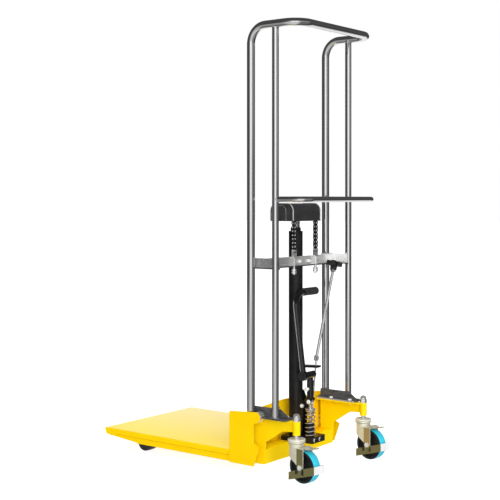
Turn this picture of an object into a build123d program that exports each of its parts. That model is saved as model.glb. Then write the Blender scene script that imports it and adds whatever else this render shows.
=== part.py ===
from build123d import *
from math import cos, pi, radians, sin, sqrt
import os

os.makedirs("parts", exist_ok=True)

# Hydraulic platform stacker. Millimetres, +Z up, platform towards +Y, operator at -Y.
# Sketches below measure Y from the plane of the mast's front posts; three plane functions
# move them so that the part's origin is on the floor under the middle of its outline.

# Platform and carriage
platform_half_width = 288.0
platform_rear_y = 94.0
platform_front_y = 790.0
platform_top_z = 88.0
platform_skirt = 22.0
platform_sheet = 3.0
nose_set_back = 13.0
nose_depth = 29.0
fork_width = 135.0
fork_sheet = 4.0
fork_bottom_z = 41.0
fork_tip_rise = 16.0
fork_taper_start_y = 575.0
cheek_thickness = 6.0
cheek_front_y = 90.0
cheek_bottom_z = 38.0
cheek_top_z = 251.0
carriage_plate_y = 27.0
carriage_plate_thickness = 6.0
carriage_plate_bottom_z = 75.0

# Guide rollers of the carriage
guide_roller_radius = 22.0
guide_roller_width = 26.0
guide_pin_radius = 6.0
guide_gap = 0.3
upper_roller_z = 229.0
lower_roller_z = 120.0

# Mast
post_inset = 22.0
post_radius = 16.0
tube_wall = 2.0
rear_post_radius = 13.5
mast_depth = 118.0
handle_z = 1770.0
handle_reach = 233.0
handle_bend = 70.0
hand_loop_radius = 11.0
hand_loop_z = 1086.0
hand_loop_reach = 255.0
hand_loop_bend = 55.0

# Base
beam_rear_y = -50.0
beam_front_y = 16.0
beam_bottom_z = 40.0
beam_top_z = 98.0
base_sheet = 6.0
arm_top_z = 229.0
arm_low_z = 182.0
arm_flange_width = 35.0
foot_height = 38.0
frame_bolt_radius = 4.0
frame_bolt_head = 8.0
frame_bolt_head_height = 5.5
frame_nut_height = 7.0
leg_width = 74.0
leg_inset = 36.0
leg_sheet = 5.0
leg_bottom_z = 30.0
leg_top_z = 66.0
leg_front_y = 640.0
load_roller_radius = 39.0
load_roller_width = 52.0
load_roller_y = 600.0
load_axle_radius = 6.0

# Hydraulic cylinder and ram
cylinder_y = -29.0
cylinder_radius = 29.0
cylinder_bore = 23.0
cylinder_top_z = 950.0
block_half_width = 61.0
block_height = 19.0
block_step_y = -70.0
block_rear_y = -130.0
block_rear_left_x = -27.0
block_rear_right_x = 65.0
block_drop = 6.5
gland_height = 20.0
ram_radius = 15.0
piston_height = 35.0
piston_rest = 16.0

# Chain drive
chain_x = 77.0
chain_pitch = 15.875
chain_width = 20.0
chain_plate_half = 7.5
chain_offset = 46.0
chain_pitch_radius = 20.0
chain_wheel_z = 1028.0
wheel_axle_radius = 7.0
wheel_flange = 4.0
cover_half_width = 98.0
cover_sheet = 2.5
cover_gap = 1.0
cover_headroom = 11.0
cover_bottom_z = 997.0
rear_run_links = 10
crossbar_thickness = 5.0
crossbar_height = 42.0
crossbar_bottom_z = 811.0
anchor_radius = 5.0
anchor_sleeve_radius = 7.0
anchor_nut_radius = 10.0
clamp_wire_radius = 4.0
front_run_end_z = 226.0

# Foot pump
plunger_y = -102.0
plunger_radius = 7.0
barrel_radius = 16.2
barrel_height = 55.0
collar_radius = 14.5
spring_wire = 5.0
spring_outer_radius = 22.0
spring_turns = 7
spring_seat_z = 226.0
washer_thickness = 4.0
lever_pivot_y = -74.0
lever_pivot_z = 240.0
lever_roller_radius = 11.0
lever_roller_z = 258.0
lever_bracket_x = 14.0
bracket_sheet = 4.0
lever_pin_radius = 5.0
socket_radius = 14.0
socket_top_z = 345.0
lever_hub_y = -108.0
lever_hub_z = 370.0
lever_hub_radius = 14.0
lever_stem_x = -58.0
lever_top_x = -74.0
lever_stem_radius = 12.0
grip_y = -75.0
grip_z = 706.0
grip_radius = 16.0
grip_end_x = 82.0
grip_length = 92.0
lever_bend = 55.0

# Lowering control
knob_point = (151.0, -118.0, 806.0)
joint_point = (46.5, -100.0, 430.5)
valve_point = (38.0, -76.0)
control_rod_radius = 6.0
valve_rod_radius = 3.5
knob_radius = 34.0
knob_hub_radius = 14.0
knob_hub_below = 16.0
joint_radius = 12.0
guide_tongue_z = 392.0

# Casters
caster_y = -205.0
caster_trail = 43.0
caster_turn = 7.0
caster_wheel_radius = 62.5
caster_wheel_width = 40.0
caster_hub_radius = 57.0
tyre_round = 3.0
caster_axle_radius = 6.0
caster_stem_radius = 10.0
caster_sleeve_radius = 15.0
caster_sleeve_bottom_z = 176.0
caster_cap_height = 30.0
caster_head_radius = 34.0
caster_fork_top_z = 133.0
caster_fork_sheet = 4.0
caster_fork_gap = 25.0
race_low_z = 148.0
race_bottom_z = 156.0
race_top_z = 163.0
guard_sheet = 2.0
guard_height = 31.0
guard_reach_y = -324.0
guard_front_y = -191.0
pedal_tip_y = -309.0
pedal_sheet = 3.0
pedal_half_width = 20.0
pedal_hinge_radius = 3.7

# Fits
running = 0.05
seat_gap = 0.3

# Sizes worked out from those above
middle_y = (platform_front_y + guard_reach_y) / 2
cheek_inner_x = platform_half_width - platform_sheet
cheek_outer_x = cheek_inner_x + cheek_thickness
fork_inner_x = cheek_inner_x - fork_width
leg_outer_x = platform_half_width - leg_inset
leg_inner_x = leg_outer_x - leg_width
post_x = platform_half_width - post_inset
link_outer_x = post_x - post_radius
link_inner_x = link_outer_x - base_sheet
caster_x = link_inner_x
rear_post_x = link_outer_x + rear_post_radius
arm_outer_x = caster_x + base_sheet / 2
arm_inner_x = caster_x - base_sheet / 2
foot_top_z = arm_top_z + base_sheet
block_top_z = beam_top_z + block_height
chain_rear_y = cylinder_y - chain_offset
chain_front_y = cylinder_y + chain_offset
rear_wheel_y = chain_rear_y + chain_pitch_radius
front_wheel_y = chain_front_y - chain_pitch_radius
wheel_spacing = front_wheel_y - rear_wheel_y
wrap_radius = chain_pitch_radius + chain_plate_half
cover_half_depth = chain_offset + chain_plate_half + cover_gap + cover_sheet
cover_round = wrap_radius + cover_sheet
cover_top_z = chain_wheel_z + wrap_radius + cover_headroom + cover_sheet
crossbar_rear_y = chain_rear_y + anchor_sleeve_radius
wheel_y = caster_y - caster_trail
fork_outer = caster_fork_gap + caster_fork_sheet
guard_half = fork_outer + guard_sheet
turn_sine = sin(radians(caster_turn))
turn_cosine = cos(radians(caster_turn))
guard_rear_y = caster_y - (caster_y - guard_reach_y - guard_half * turn_sine) / turn_cosine
load_roller_x = (leg_inner_x + leg_outer_x) / 2
guide_roller_x = post_x
upper_roller_y = -post_radius - guide_roller_radius - guide_gap
lower_roller_y = -upper_roller_y
plunger_top_z = lever_roller_z - lever_roller_radius - seat_gap


def plan(height):
    """Level plane at a height; local X and Y are the stacker's own."""
    return Plane((0, -middle_y, height))


def side(x):
    """Upright plane across the stacker at x; local X is Y, local Y is the height."""
    return Plane((x, -middle_y, 0), x_dir=(0, 1, 0), z_dir=(1, 0, 0))


def back(y):
    """Upright plane facing the operator at y; local X is X, local Y is the height."""
    return Plane((0, y - middle_y, 0), x_dir=(1, 0, 0), z_dir=(0, -1, 0))


def spot(x, y, z):
    """A point measured from the front posts, in the part's frame."""
    return Vector(x, y - middle_y, z)


def save(piece, name):
    """Labels a piece and writes it as the node of that name."""
    piece.part.label = name
    export_step(piece.part, f"parts/{name}.step")


def save_pair(piece, name):
    """Writes a left-hand piece and its mirror image as two nodes."""
    save(piece, f"left_{name}")
    with BuildPart() as right_piece:
        mirror(piece.part, about=Plane.YZ)
    save(right_piece, f"right_{name}")


def save_casters(piece, name):
    """Writes a left-hand caster piece and its mirror image, both turned the same way about their stems."""
    left_stem = Axis(spot(-caster_x, caster_y, 0), (0, 0, 1))
    right_stem = Axis(spot(caster_x, caster_y, 0), (0, 0, 1))
    with BuildPart() as left_piece:
        add(piece.part.rotate(left_stem, -caster_turn))
    save(left_piece, f"left_{name}")
    with BuildPart() as right_piece:
        add(piece.part.mirror(Plane.YZ).rotate(right_stem, -caster_turn))
    save(right_piece, f"right_{name}")


# Straddle legs: channels open below, bare walls at the front around the load roller
with BuildPart() as leg:
    with BuildSketch(side(-leg_outer_x)):
        with BuildLine():
            Polyline(
                (beam_front_y, leg_bottom_z),
                (beam_front_y, leg_top_z),
                (leg_front_y, leg_top_z),
                (leg_front_y, leg_bottom_z),
                close=True,
            )
        make_face()
    extrude(amount=leg_outer_x - leg_inner_x)
    front_edges = leg.edges().filter_by(Axis.X).group_by(Axis.Y)[-1]
    fillet(front_edges, (leg_top_z - leg_bottom_z) * 0.4)
    with BuildSketch(plan(leg_bottom_z)):
        with Locations((-load_roller_x, (beam_front_y + leg_front_y) / 2)):
            channel_width = leg_outer_x - leg_inner_x - 2 * leg_sheet
            Rectangle(channel_width, leg_front_y - beam_front_y)
    extrude(amount=leg_top_z - leg_bottom_z - leg_sheet, mode=Mode.SUBTRACT)
    roller_slot_rear_y = load_roller_y - load_roller_radius - 3 * leg_sheet
    with BuildSketch(plan(leg_bottom_z)):
        with Locations((-load_roller_x, (roller_slot_rear_y + leg_front_y) / 2)):
            Rectangle(channel_width, leg_front_y - roller_slot_rear_y)
    extrude(amount=leg_top_z, mode=Mode.SUBTRACT)
    with BuildSketch(side(-leg_outer_x)):
        with Locations((load_roller_y, load_roller_radius)):
            Circle(load_axle_radius)
    extrude(amount=leg_outer_x - leg_inner_x, mode=Mode.SUBTRACT)
    with BuildSketch(side(-leg_outer_x)):
        with Locations((load_roller_y, load_roller_radius)):
            Circle(load_axle_radius)
    extrude(amount=leg_outer_x - leg_inner_x)
save_pair(leg, "leg")

# Load rollers, crowned at the edges, running on the leg axles
with BuildPart() as load_roller:
    with BuildSketch(side(-load_roller_x - load_roller_width / 2)):
        with Locations((load_roller_y, load_roller_radius)):
            Circle(load_roller_radius)
            Circle(load_axle_radius + running, mode=Mode.SUBTRACT)
    extrude(amount=load_roller_width)
    fillet(load_roller.edges().filter_by(GeomType.CIRCLE).group_by(SortBy.LENGTH)[-1], 3)
save_pair(load_roller, "load_roller")

# Rear crossbeam: a folded channel, open below, that carries cylinder and pump
with BuildPart() as crossbeam:
    with BuildSketch(side(-arm_inner_x)):
        with BuildLine():
            Polyline(
                (beam_rear_y, beam_bottom_z),
                (beam_rear_y, beam_top_z),
                (beam_front_y, beam_top_z),
                (beam_front_y, beam_bottom_z),
                (beam_front_y - base_sheet, beam_bottom_z),
                (beam_front_y - base_sheet, beam_top_z - base_sheet),
                (beam_rear_y + base_sheet, beam_top_z - base_sheet),
                (beam_rear_y + base_sheet, beam_bottom_z),
                close=True,
            )
        make_face()
    extrude(amount=2 * arm_inner_x)
    fillet(crossbeam.edges().filter_by(Axis.X).group_by(Axis.Z)[-1], base_sheet * 0.8)
save(crossbeam, "rear_crossbeam")

# Caster arms: tapered side plate, top flange, seat of the front post and caster sleeve
arm_front_y = beam_front_y - base_sheet
arm_knee_y = -139.0
arm_heel_z = 128.0
flange_rear_y = caster_y + caster_sleeve_radius / 2
bolt_x = -arm_inner_x + 13
bolt_spots = ((bolt_x, -54), (bolt_x, -148))
with BuildPart() as arm:
    with BuildSketch(side(-arm_outer_x)):
        with BuildLine():
            Polyline(
                (arm_front_y, beam_bottom_z),
                (arm_front_y, arm_top_z),
                (caster_y, arm_top_z - base_sheet),
                (caster_y, arm_low_z + base_sheet),
                (arm_knee_y, arm_low_z),
                (beam_rear_y - base_sheet, arm_heel_z),
                (beam_rear_y, beam_bottom_z),
                close=True,
            )
        make_face()
    extrude(amount=base_sheet)
    with BuildSketch(plan(arm_top_z)):
        flange_x = -arm_outer_x + arm_flange_width / 2
        with Locations((flange_x, (flange_rear_y + arm_front_y) / 2)):
            Rectangle(arm_flange_width, arm_front_y - flange_rear_y)
    extrude(amount=-base_sheet)
    with BuildSketch(plan(beam_top_z)):
        seat_width = cheek_inner_x - arm_outer_x - 2
        with Locations((-arm_outer_x - seat_width / 2, 0)):
            Rectangle(seat_width, 2 * post_radius - 2)
    extrude(amount=-base_sheet)
    with BuildSketch(plan(caster_sleeve_bottom_z)):
        with Locations((-caster_x, caster_y)):
            Circle(caster_sleeve_radius)
    extrude(amount=arm_top_z - caster_sleeve_bottom_z)
    with BuildSketch(plan(caster_sleeve_bottom_z)):
        with Locations((-caster_x, caster_y)):
            Circle(caster_stem_radius + running)
    extrude(amount=arm_top_z, mode=Mode.SUBTRACT)
    with BuildSketch(plan(arm_top_z)):
        with Locations(*bolt_spots):
            Circle(frame_bolt_radius)
    extrude(amount=-base_sheet, mode=Mode.SUBTRACT)
save_pair(arm, "caster_arm")

# Mast feet: steel angles with a sloped rear end, one on each arm
foot_front_y = 12.0
foot_slope_y = -129.0
foot_rear_y = -177.0
foot_floor_front_y = upper_roller_y - guide_roller_radius - 4
with BuildPart() as feet:
    with BuildSketch(side(-link_outer_x)):
        with BuildLine():
            Polyline(
                (foot_front_y, arm_top_z),
                (foot_front_y, arm_top_z + foot_height),
                (foot_slope_y, arm_top_z + foot_height),
                (foot_rear_y, foot_top_z),
                (foot_rear_y, arm_top_z),
                close=True,
            )
        make_face()
    extrude(amount=base_sheet)
    with BuildSketch(plan(arm_top_z)):
        floor_width = cheek_inner_x - link_outer_x - 2
        floor_length = foot_floor_front_y - foot_rear_y
        with Locations((-link_outer_x - floor_width / 2, foot_rear_y + floor_length / 2)):
            Rectangle(floor_width, floor_length)
    extrude(amount=base_sheet)
    with BuildSketch(plan(arm_top_z)):
        inner_width = arm_flange_width - base_sheet
        with Locations((-link_inner_x + inner_width / 2, (foot_front_y + foot_rear_y) / 2)):
            Rectangle(inner_width, foot_front_y - foot_rear_y)
    extrude(amount=base_sheet)
    rear_corners = feet.edges().filter_by(Axis.Z).group_by(Axis.Y)[0]
    fillet(rear_corners, 12)
    with BuildSketch(plan(arm_top_z)):
        with Locations(*bolt_spots):
            Circle(frame_bolt_radius)
    extrude(amount=base_sheet, mode=Mode.SUBTRACT)
    mirror(about=Plane.YZ)
save(feet, "mast_feet")

# Front posts and top handle: one bent tube
with BuildPart() as mast_loop:
    with BuildLine() as loop_path:
        FilletPolyline(
            spot(-post_x, 0, beam_top_z),
            spot(-post_x, 0, handle_z),
            spot(-post_x, -handle_reach, handle_z),
            spot(post_x, -handle_reach, handle_z),
            spot(post_x, 0, handle_z),
            spot(post_x, 0, beam_top_z),
            radius=handle_bend,
        )
    with BuildSketch(Plane(loop_path.line @ 0, z_dir=loop_path.line % 0)):
        Circle(post_radius)
        Circle(post_radius - tube_wall, mode=Mode.SUBTRACT)
    sweep(path=loop_path.line)
save(mast_loop, "mast_loop")

# Rear posts, saddled under the top handle
with BuildPart() as rear_posts:
    with BuildSketch(plan(foot_top_z)):
        with Locations((-rear_post_x, -mast_depth), (rear_post_x, -mast_depth)):
            Circle(rear_post_radius)
            Circle(rear_post_radius - tube_wall, mode=Mode.SUBTRACT)
    extrude(amount=handle_z - foot_top_z)
    with BuildSketch(back(0)):
        with Locations((-post_x, handle_z), (post_x, handle_z)):
            Circle(post_radius)
    extrude(amount=handle_reach, mode=Mode.SUBTRACT)
save(rear_posts, "rear_posts")

# Lower hand loop, welded to the rear posts
with BuildPart() as hand_loop:
    with BuildLine() as hand_path:
        FilletPolyline(
            spot(-rear_post_x, -mast_depth, hand_loop_z),
            spot(-rear_post_x, -hand_loop_reach, hand_loop_z),
            spot(rear_post_x, -hand_loop_reach, hand_loop_z),
            spot(rear_post_x, -mast_depth, hand_loop_z),
            radius=hand_loop_bend,
        )
    with BuildSketch(Plane(hand_path.line @ 0, z_dir=hand_path.line % 0)):
        Circle(hand_loop_radius)
        Circle(hand_loop_radius - tube_wall, mode=Mode.SUBTRACT)
    sweep(path=hand_path.line)
    with BuildSketch(plan(hand_loop_z - 2 * hand_loop_radius)):
        with Locations((-rear_post_x, -mast_depth), (rear_post_x, -mast_depth)):
            Circle(rear_post_radius)
    extrude(amount=4 * hand_loop_radius, mode=Mode.SUBTRACT)
save(hand_loop, "hand_loop")

# Chain crossbar with its side links, anchor sleeves and the tab that guides the knob rod
crossbar_top_z = crossbar_bottom_z + crossbar_height
joint_spot = spot(*joint_point)
knob_spot = spot(*knob_point)
rod_axis = (knob_spot - joint_spot).normalized()
hub_low_z = knob_point[2] - knob_hub_below * rod_axis.Z - knob_hub_radius * sqrt(1 - rod_axis.Z**2)
tab_top_z = hub_low_z - seat_gap
tab_sheet = 3.0
tab_width = 22.0
tab_root_x = 211.0
link_overhang = 8.0
sleeve_set_back = 4.0
tab_x = joint_point[0] + (tab_top_z - joint_point[2]) * rod_axis.X / rod_axis.Z
clamp_leg_x = cylinder_radius + clamp_wire_radius + seat_gap
clamp_z = crossbar_bottom_z + crossbar_height / 2
with BuildPart() as crossbar:
    with BuildSketch(plan(crossbar_bottom_z)):
        with Locations((0, crossbar_rear_y + crossbar_thickness / 2)):
            Rectangle(2 * link_inner_x, crossbar_thickness)
        link_length = mast_depth + 2 * link_overhang
        with Locations(
            (-link_outer_x + base_sheet / 2, -mast_depth / 2),
            (link_outer_x - base_sheet / 2, -mast_depth / 2),
        ):
            Rectangle(base_sheet, link_length)
    extrude(amount=crossbar_height)
    with BuildSketch(plan(crossbar_bottom_z + sleeve_set_back)):
        with Locations((-chain_x, chain_rear_y), (chain_x, chain_rear_y)):
            Circle(anchor_sleeve_radius)
            Rectangle(1.4 * anchor_sleeve_radius, anchor_sleeve_radius, align=(Align.CENTER, Align.MIN))
    extrude(amount=crossbar_height - 2 * sleeve_set_back)
    with BuildSketch(plan(crossbar_bottom_z)):
        with Locations((-chain_x, chain_rear_y), (chain_x, chain_rear_y)):
            Circle(anchor_radius + running)
    extrude(amount=crossbar_height, mode=Mode.SUBTRACT)
    with BuildSketch(back(crossbar_rear_y + crossbar_thickness)):
        with Locations((-clamp_leg_x, clamp_z), (clamp_leg_x, clamp_z)):
            Circle(clamp_wire_radius + running)
    extrude(amount=crossbar_thickness, mode=Mode.SUBTRACT)
    with BuildSketch(plan(tab_top_z - tab_sheet)):
        with BuildLine():
            Polyline(
                (tab_root_x - tab_width / 2, crossbar_rear_y),
                (tab_root_x + tab_width / 2, crossbar_rear_y),
                (tab_x + tab_width / 2, knob_point[1]),
                (tab_x - tab_width / 2, knob_point[1]),
                close=True,
            )
        make_face()
        with Locations((tab_x, knob_point[1])):
            Circle(tab_width / 2)
    extrude(amount=tab_sheet)
    with BuildSketch(plan(tab_top_z - tab_sheet)):
        with Locations((tab_root_x, crossbar_rear_y)):
            Rectangle(tab_width, tab_sheet, align=(Align.CENTER, Align.MAX))
    extrude(amount=clamp_z - tab_top_z)
    with BuildSketch(Plane(joint_spot, z_dir=rod_axis)):
        Circle(control_rod_radius + running)
    extrude(amount=(knob_spot - joint_spot).length, mode=Mode.SUBTRACT)
save(crossbar, "chain_crossbar")

# Clamp that ties the cylinder to the crossbar: a bent rod and its two nuts
clamp_end_y = crossbar_rear_y - 12
with BuildPart() as cylinder_clamp:
    with BuildLine() as clamp_path:
        Line(spot(-clamp_leg_x, clamp_end_y, clamp_z), spot(-clamp_leg_x, cylinder_y, clamp_z))
        ThreePointArc(
            spot(-clamp_leg_x, cylinder_y, clamp_z),
            spot(0, cylinder_y + clamp_leg_x, clamp_z),
            spot(clamp_leg_x, cylinder_y, clamp_z),
        )
        Line(spot(clamp_leg_x, cylinder_y, clamp_z), spot(clamp_leg_x, clamp_end_y, clamp_z))
    with BuildSketch(Plane(clamp_path.line @ 0, z_dir=clamp_path.line % 0)):
        Circle(clamp_wire_radius)
    sweep(path=clamp_path.line)
    with BuildSketch(back(crossbar_rear_y)):
        with Locations((-clamp_leg_x, clamp_z), (clamp_leg_x, clamp_z)):
            RegularPolygon(7.5, 6)
    extrude(amount=7)
save(cylinder_clamp, "cylinder_clamp")

# Pump block: the casting that carries cylinder, pump and lowering valve
valve_spot = spot(valve_point[0], valve_point[1], block_top_z)
valve_axis = (joint_spot - valve_spot).normalized()
valve_boss_height = 14.0
valve_boss_root = 6.0
valve_boss_radius = 8.0
valve_bore_depth = 10.0
block_front_y = beam_front_y - 8
block_middle_z = (beam_top_z - block_drop + block_top_z) / 2
block_corner = 10.0
block_edge = 3.0
with BuildPart() as pump_block:
    with BuildSketch(plan(beam_top_z)):
        with Locations((0, (block_step_y + block_front_y) / 2)):
            RectangleRounded(2 * block_half_width, block_front_y - block_step_y, block_corner)
    extrude(amount=block_height)
    chamfer(pump_block.edges().group_by(Axis.Z)[-1], block_edge)
    with BuildSketch(plan(beam_top_z - block_drop)):
        rear_width = block_rear_right_x - block_rear_left_x
        rear_length = block_step_y - block_rear_y
        with Locations((block_rear_left_x + rear_width / 2, block_rear_y + rear_length / 2)):
            Rectangle(rear_width, rear_length)
    extrude(amount=block_height + block_drop)
    with BuildSketch(plan(beam_top_z)):
        neck_width = block_half_width - block_corner - block_rear_left_x
        with Locations((block_rear_left_x + neck_width / 2, block_step_y)):
            Rectangle(neck_width, 2 * block_corner)
    extrude(amount=block_height)
    with BuildSketch(Plane(valve_spot - valve_axis * valve_boss_root, z_dir=valve_axis)):
        Circle(valve_boss_radius)
    extrude(amount=valve_boss_root + valve_boss_height)
    with BuildSketch(Plane(valve_spot + valve_axis * valve_boss_height, z_dir=valve_axis)):
        Circle(valve_rod_radius + running)
    extrude(amount=-valve_bore_depth, mode=Mode.SUBTRACT)
save(pump_block, "pump_block")

# Cylinder tube, standing on the block
with BuildPart() as cylinder_tube:
    with BuildSketch(plan(block_top_z)):
        with Locations((0, cylinder_y)):
            Circle(cylinder_radius)
            Circle(cylinder_bore, mode=Mode.SUBTRACT)
    extrude(amount=cylinder_top_z - block_top_z)
save(cylinder_tube, "cylinder_tube")

# Gland: spigot inside the tube, flange on its rim, neck around the ram
gland_flange = 5.0
gland_spigot = 34.0
gland_neck_radius = 21.0
with BuildPart() as gland:
    with BuildSketch(plan(cylinder_top_z)):
        with Locations((0, cylinder_y)):
            Circle(cylinder_radius)
    extrude(amount=gland_flange)
    with BuildSketch(plan(cylinder_top_z - gland_spigot)):
        with Locations((0, cylinder_y)):
            Circle(cylinder_bore)
    extrude(amount=gland_spigot)
    with BuildSketch(plan(cylinder_top_z)):
        with Locations((0, cylinder_y)):
            Circle(gland_neck_radius)
    extrude(amount=gland_height)
    chamfer(gland.edges().group_by(Axis.Z)[-1], 2)
    with BuildSketch(plan(cylinder_top_z - gland_spigot)):
        with Locations((0, cylinder_y)):
            Circle(ram_radius + running)
    extrude(amount=gland_spigot + gland_height, mode=Mode.SUBTRACT)
save(gland, "cylinder_gland")

# Ram: polished rod with its piston inside the tube
crosshead_half_width = 30.0
crosshead_margin = 5.0
crosshead_half_depth = wheel_spacing / 2 + wheel_axle_radius + crosshead_margin
crosshead_half_height = 14.0
crosshead_bottom_z = chain_wheel_z - crosshead_half_height
piston_bottom_z = block_top_z + piston_rest
with BuildPart() as ram_rod:
    with BuildSketch(plan(piston_bottom_z)):
        with Locations((0, cylinder_y)):
            Circle(cylinder_bore - running)
    extrude(amount=piston_height)
    with BuildSketch(plan(piston_bottom_z)):
        with Locations((0, cylinder_y)):
            Circle(ram_radius)
    extrude(amount=crosshead_bottom_z - piston_bottom_z)
save(ram_rod, "ram_rod")

# Crosshead on top of the ram, with the two axles of the chain wheels
end_plate_inset = 3.0
axle_half_length = cover_half_width - end_plate_inset - cover_sheet
wheel_half_width = chain_width / 2 + 1 + wheel_flange
spacer_end_x = chain_x - wheel_half_width - seat_gap
axle_spots = ((rear_wheel_y, chain_wheel_z), (front_wheel_y, chain_wheel_z))
with BuildPart() as crosshead:
    with BuildSketch(side(-crosshead_half_width)):
        with Locations((cylinder_y, chain_wheel_z)):
            Rectangle(2 * crosshead_half_depth, 2 * crosshead_half_height)
    extrude(amount=2 * crosshead_half_width)
    chamfer(crosshead.edges().filter_by(Axis.X), 3)
    with BuildSketch(side(-spacer_end_x)):
        with Locations(*axle_spots):
            Circle(wheel_axle_radius + 3)
    extrude(amount=2 * spacer_end_x)
    with BuildSketch(side(-axle_half_length)):
        with Locations(*axle_spots):
            Circle(wheel_axle_radius)
    extrude(amount=2 * axle_half_length)
save(crosshead, "crosshead")

# Chain wheels: a rear and a front pair of flanged pulleys that the chains pass over
chain_root_radius = chain_pitch_radius - chain_plate_half - 0.5
flange_radius = chain_pitch_radius - 1
for pair_name, axle_spot in zip(("rear", "front"), axle_spots):
    with BuildPart() as chain_wheels:
        for wheel_x in (-chain_x, chain_x):
            with BuildSketch(side(wheel_x - wheel_half_width)):
                with Locations(axle_spot):
                    Circle(chain_root_radius)
            extrude(amount=2 * wheel_half_width)
            for flange_x in (wheel_x - wheel_half_width, wheel_x + wheel_half_width - wheel_flange):
                with BuildSketch(side(flange_x)):
                    with Locations(axle_spot):
                        Circle(flange_radius)
                extrude(amount=wheel_flange)
            with BuildSketch(side(wheel_x - wheel_half_width)):
                with Locations(axle_spot):
                    Circle(wheel_axle_radius + running)
            extrude(amount=2 * wheel_half_width, mode=Mode.SUBTRACT)
    save(chain_wheels, f"{pair_name}_chain_wheels")

# Chain lying over the top of both wheels
with BuildPart() as chain_wraps:
    for strand_x in (-chain_x, chain_x):
        with BuildSketch(side(strand_x - chain_width / 2)):
            with Locations((cylinder_y, chain_wheel_z)):
                SlotCenterToCenter(wheel_spacing, 2 * wrap_radius)
                SlotCenterToCenter(
                    wheel_spacing,
                    2 * (chain_pitch_radius - chain_plate_half),
                    mode=Mode.SUBTRACT,
                )
                Rectangle(
                    4 * chain_offset,
                    2 * wrap_radius,
                    align=(Align.CENTER, Align.MAX),
                    mode=Mode.SUBTRACT,
                )
        extrude(amount=chain_width)
save(chain_wraps, "chain_wraps")

# Chain cover: arched hood, open below, with end plates set into it


def hood_outline(sketch, inset):
    """Draw the hood's end outline into an open sketch, moved in by an inset."""
    with Locations((cylinder_y, cover_bottom_z)):
        Rectangle(
            2 * (cover_half_depth - inset),
            cover_top_z - cover_bottom_z - inset,
            align=(Align.CENTER, Align.MIN),
        )
    fillet(sketch.vertices().group_by(Axis.Y)[-1], cover_round - inset)


cover_hollows = (
    (-cover_half_width, end_plate_inset),
    (-axle_half_length, 2 * axle_half_length),
    (cover_half_width - end_plate_inset, end_plate_inset),
)
with BuildPart() as chain_cover:
    with BuildSketch(side(-cover_half_width)) as hood:
        hood_outline(hood, 0)
    extrude(amount=2 * cover_half_width)
    for hollow_x, hollow_length in cover_hollows:
        with BuildSketch(side(hollow_x)) as hollow:
            hood_outline(hollow, cover_sheet)
        extrude(amount=hollow_length, mode=Mode.SUBTRACT)
save(chain_cover, "chain_cover")

# Rear chain runs, from the wheels down to the anchors: pins, rollers, inner and outer plates
pin_radius = 2.5
roller_radius = 5.0
plate_sheet = 2.4
inner_plate_x = 4.3
outer_plate_x = inner_plate_x + plate_sheet + 0.1
rear_run_top_z = chain_wheel_z - seat_gap
first_pin_z = chain_wheel_z - chain_pitch / 2
pin_heights = [first_pin_z - k * chain_pitch for k in range(rear_run_links)]
last_pin_z = pin_heights[-1]
link_heights = [z + chain_pitch / 2 for z in pin_heights]
plate_layers = ((outer_plate_x, link_heights[0::2]), (inner_plate_x, link_heights[1::2]))
with BuildPart() as rear_chains:
    for strand_x in (-chain_x, chain_x):
        for plate_x, heights in plate_layers:
            for layer_x in (strand_x + plate_x, strand_x - plate_x - plate_sheet):
                with BuildSketch(side(layer_x)):
                    with Locations(*[Location((chain_rear_y, z, 0), (0, 0, 90)) for z in heights]):
                        SlotCenterToCenter(chain_pitch, 2 * chain_plate_half - 1)
                extrude(amount=plate_sheet)
        for half_length, radius in ((inner_plate_x, roller_radius), (chain_width / 2, pin_radius)):
            with BuildSketch(side(strand_x - half_length)):
                with Locations(*[(chain_rear_y, z) for z in pin_heights]):
                    Circle(radius)
            extrude(amount=2 * half_length)
    split(bisect_by=plan(rear_run_top_z), keep=Keep.BOTTOM)
save(rear_chains, "rear_chains")

# Anchor bolts that hold the rear chain ends in the crossbar sleeves
anchor_tail = 31.0
nut_drop = 8.0
anchor_end_z = crossbar_bottom_z - anchor_tail
anchor_nut_height = 9.0
lock_nut_height = 8.0
nut_top_z = crossbar_bottom_z - nut_drop
lock_nut_top_z = nut_top_z - anchor_nut_height - 1
lug_half = 6.5
lug_sheet = 2.5
clevis_bottom_z = crossbar_top_z - sleeve_set_back
clevis_top_z = last_pin_z - lug_half - 2
with BuildPart() as chain_anchors:
    for strand_x in (-chain_x, chain_x):
        with BuildSketch(plan(anchor_end_z)):
            with Locations((strand_x, chain_rear_y)):
                Circle(anchor_radius)
        extrude(amount=clevis_bottom_z - anchor_end_z)
        with BuildSketch(plan(clevis_bottom_z)):
            with Locations((strand_x, chain_rear_y)):
                Rectangle(2 * (outer_plate_x + lug_sheet), 2 * lug_half)
        extrude(amount=clevis_top_z - clevis_bottom_z)
        for lug_x in (strand_x + outer_plate_x, strand_x - outer_plate_x - lug_sheet):
            with BuildSketch(side(lug_x)):
                with Locations((chain_rear_y, last_pin_z)):
                    Circle(lug_half)
                    Rectangle(
                        2 * lug_half,
                        last_pin_z - clevis_bottom_z,
                        align=(Align.CENTER, Align.MAX),
                    )
                    Circle(pin_radius + running, mode=Mode.SUBTRACT)
            extrude(amount=lug_sheet)
        for top_z, nut_height in ((nut_top_z, anchor_nut_height), (lock_nut_top_z, lock_nut_height)):
            with BuildSketch(plan(top_z)):
                with Locations((strand_x, chain_rear_y)):
                    RegularPolygon(anchor_nut_radius, 6)
            extrude(amount=-nut_height)
save(chain_anchors, "chain_anchors")

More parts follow.
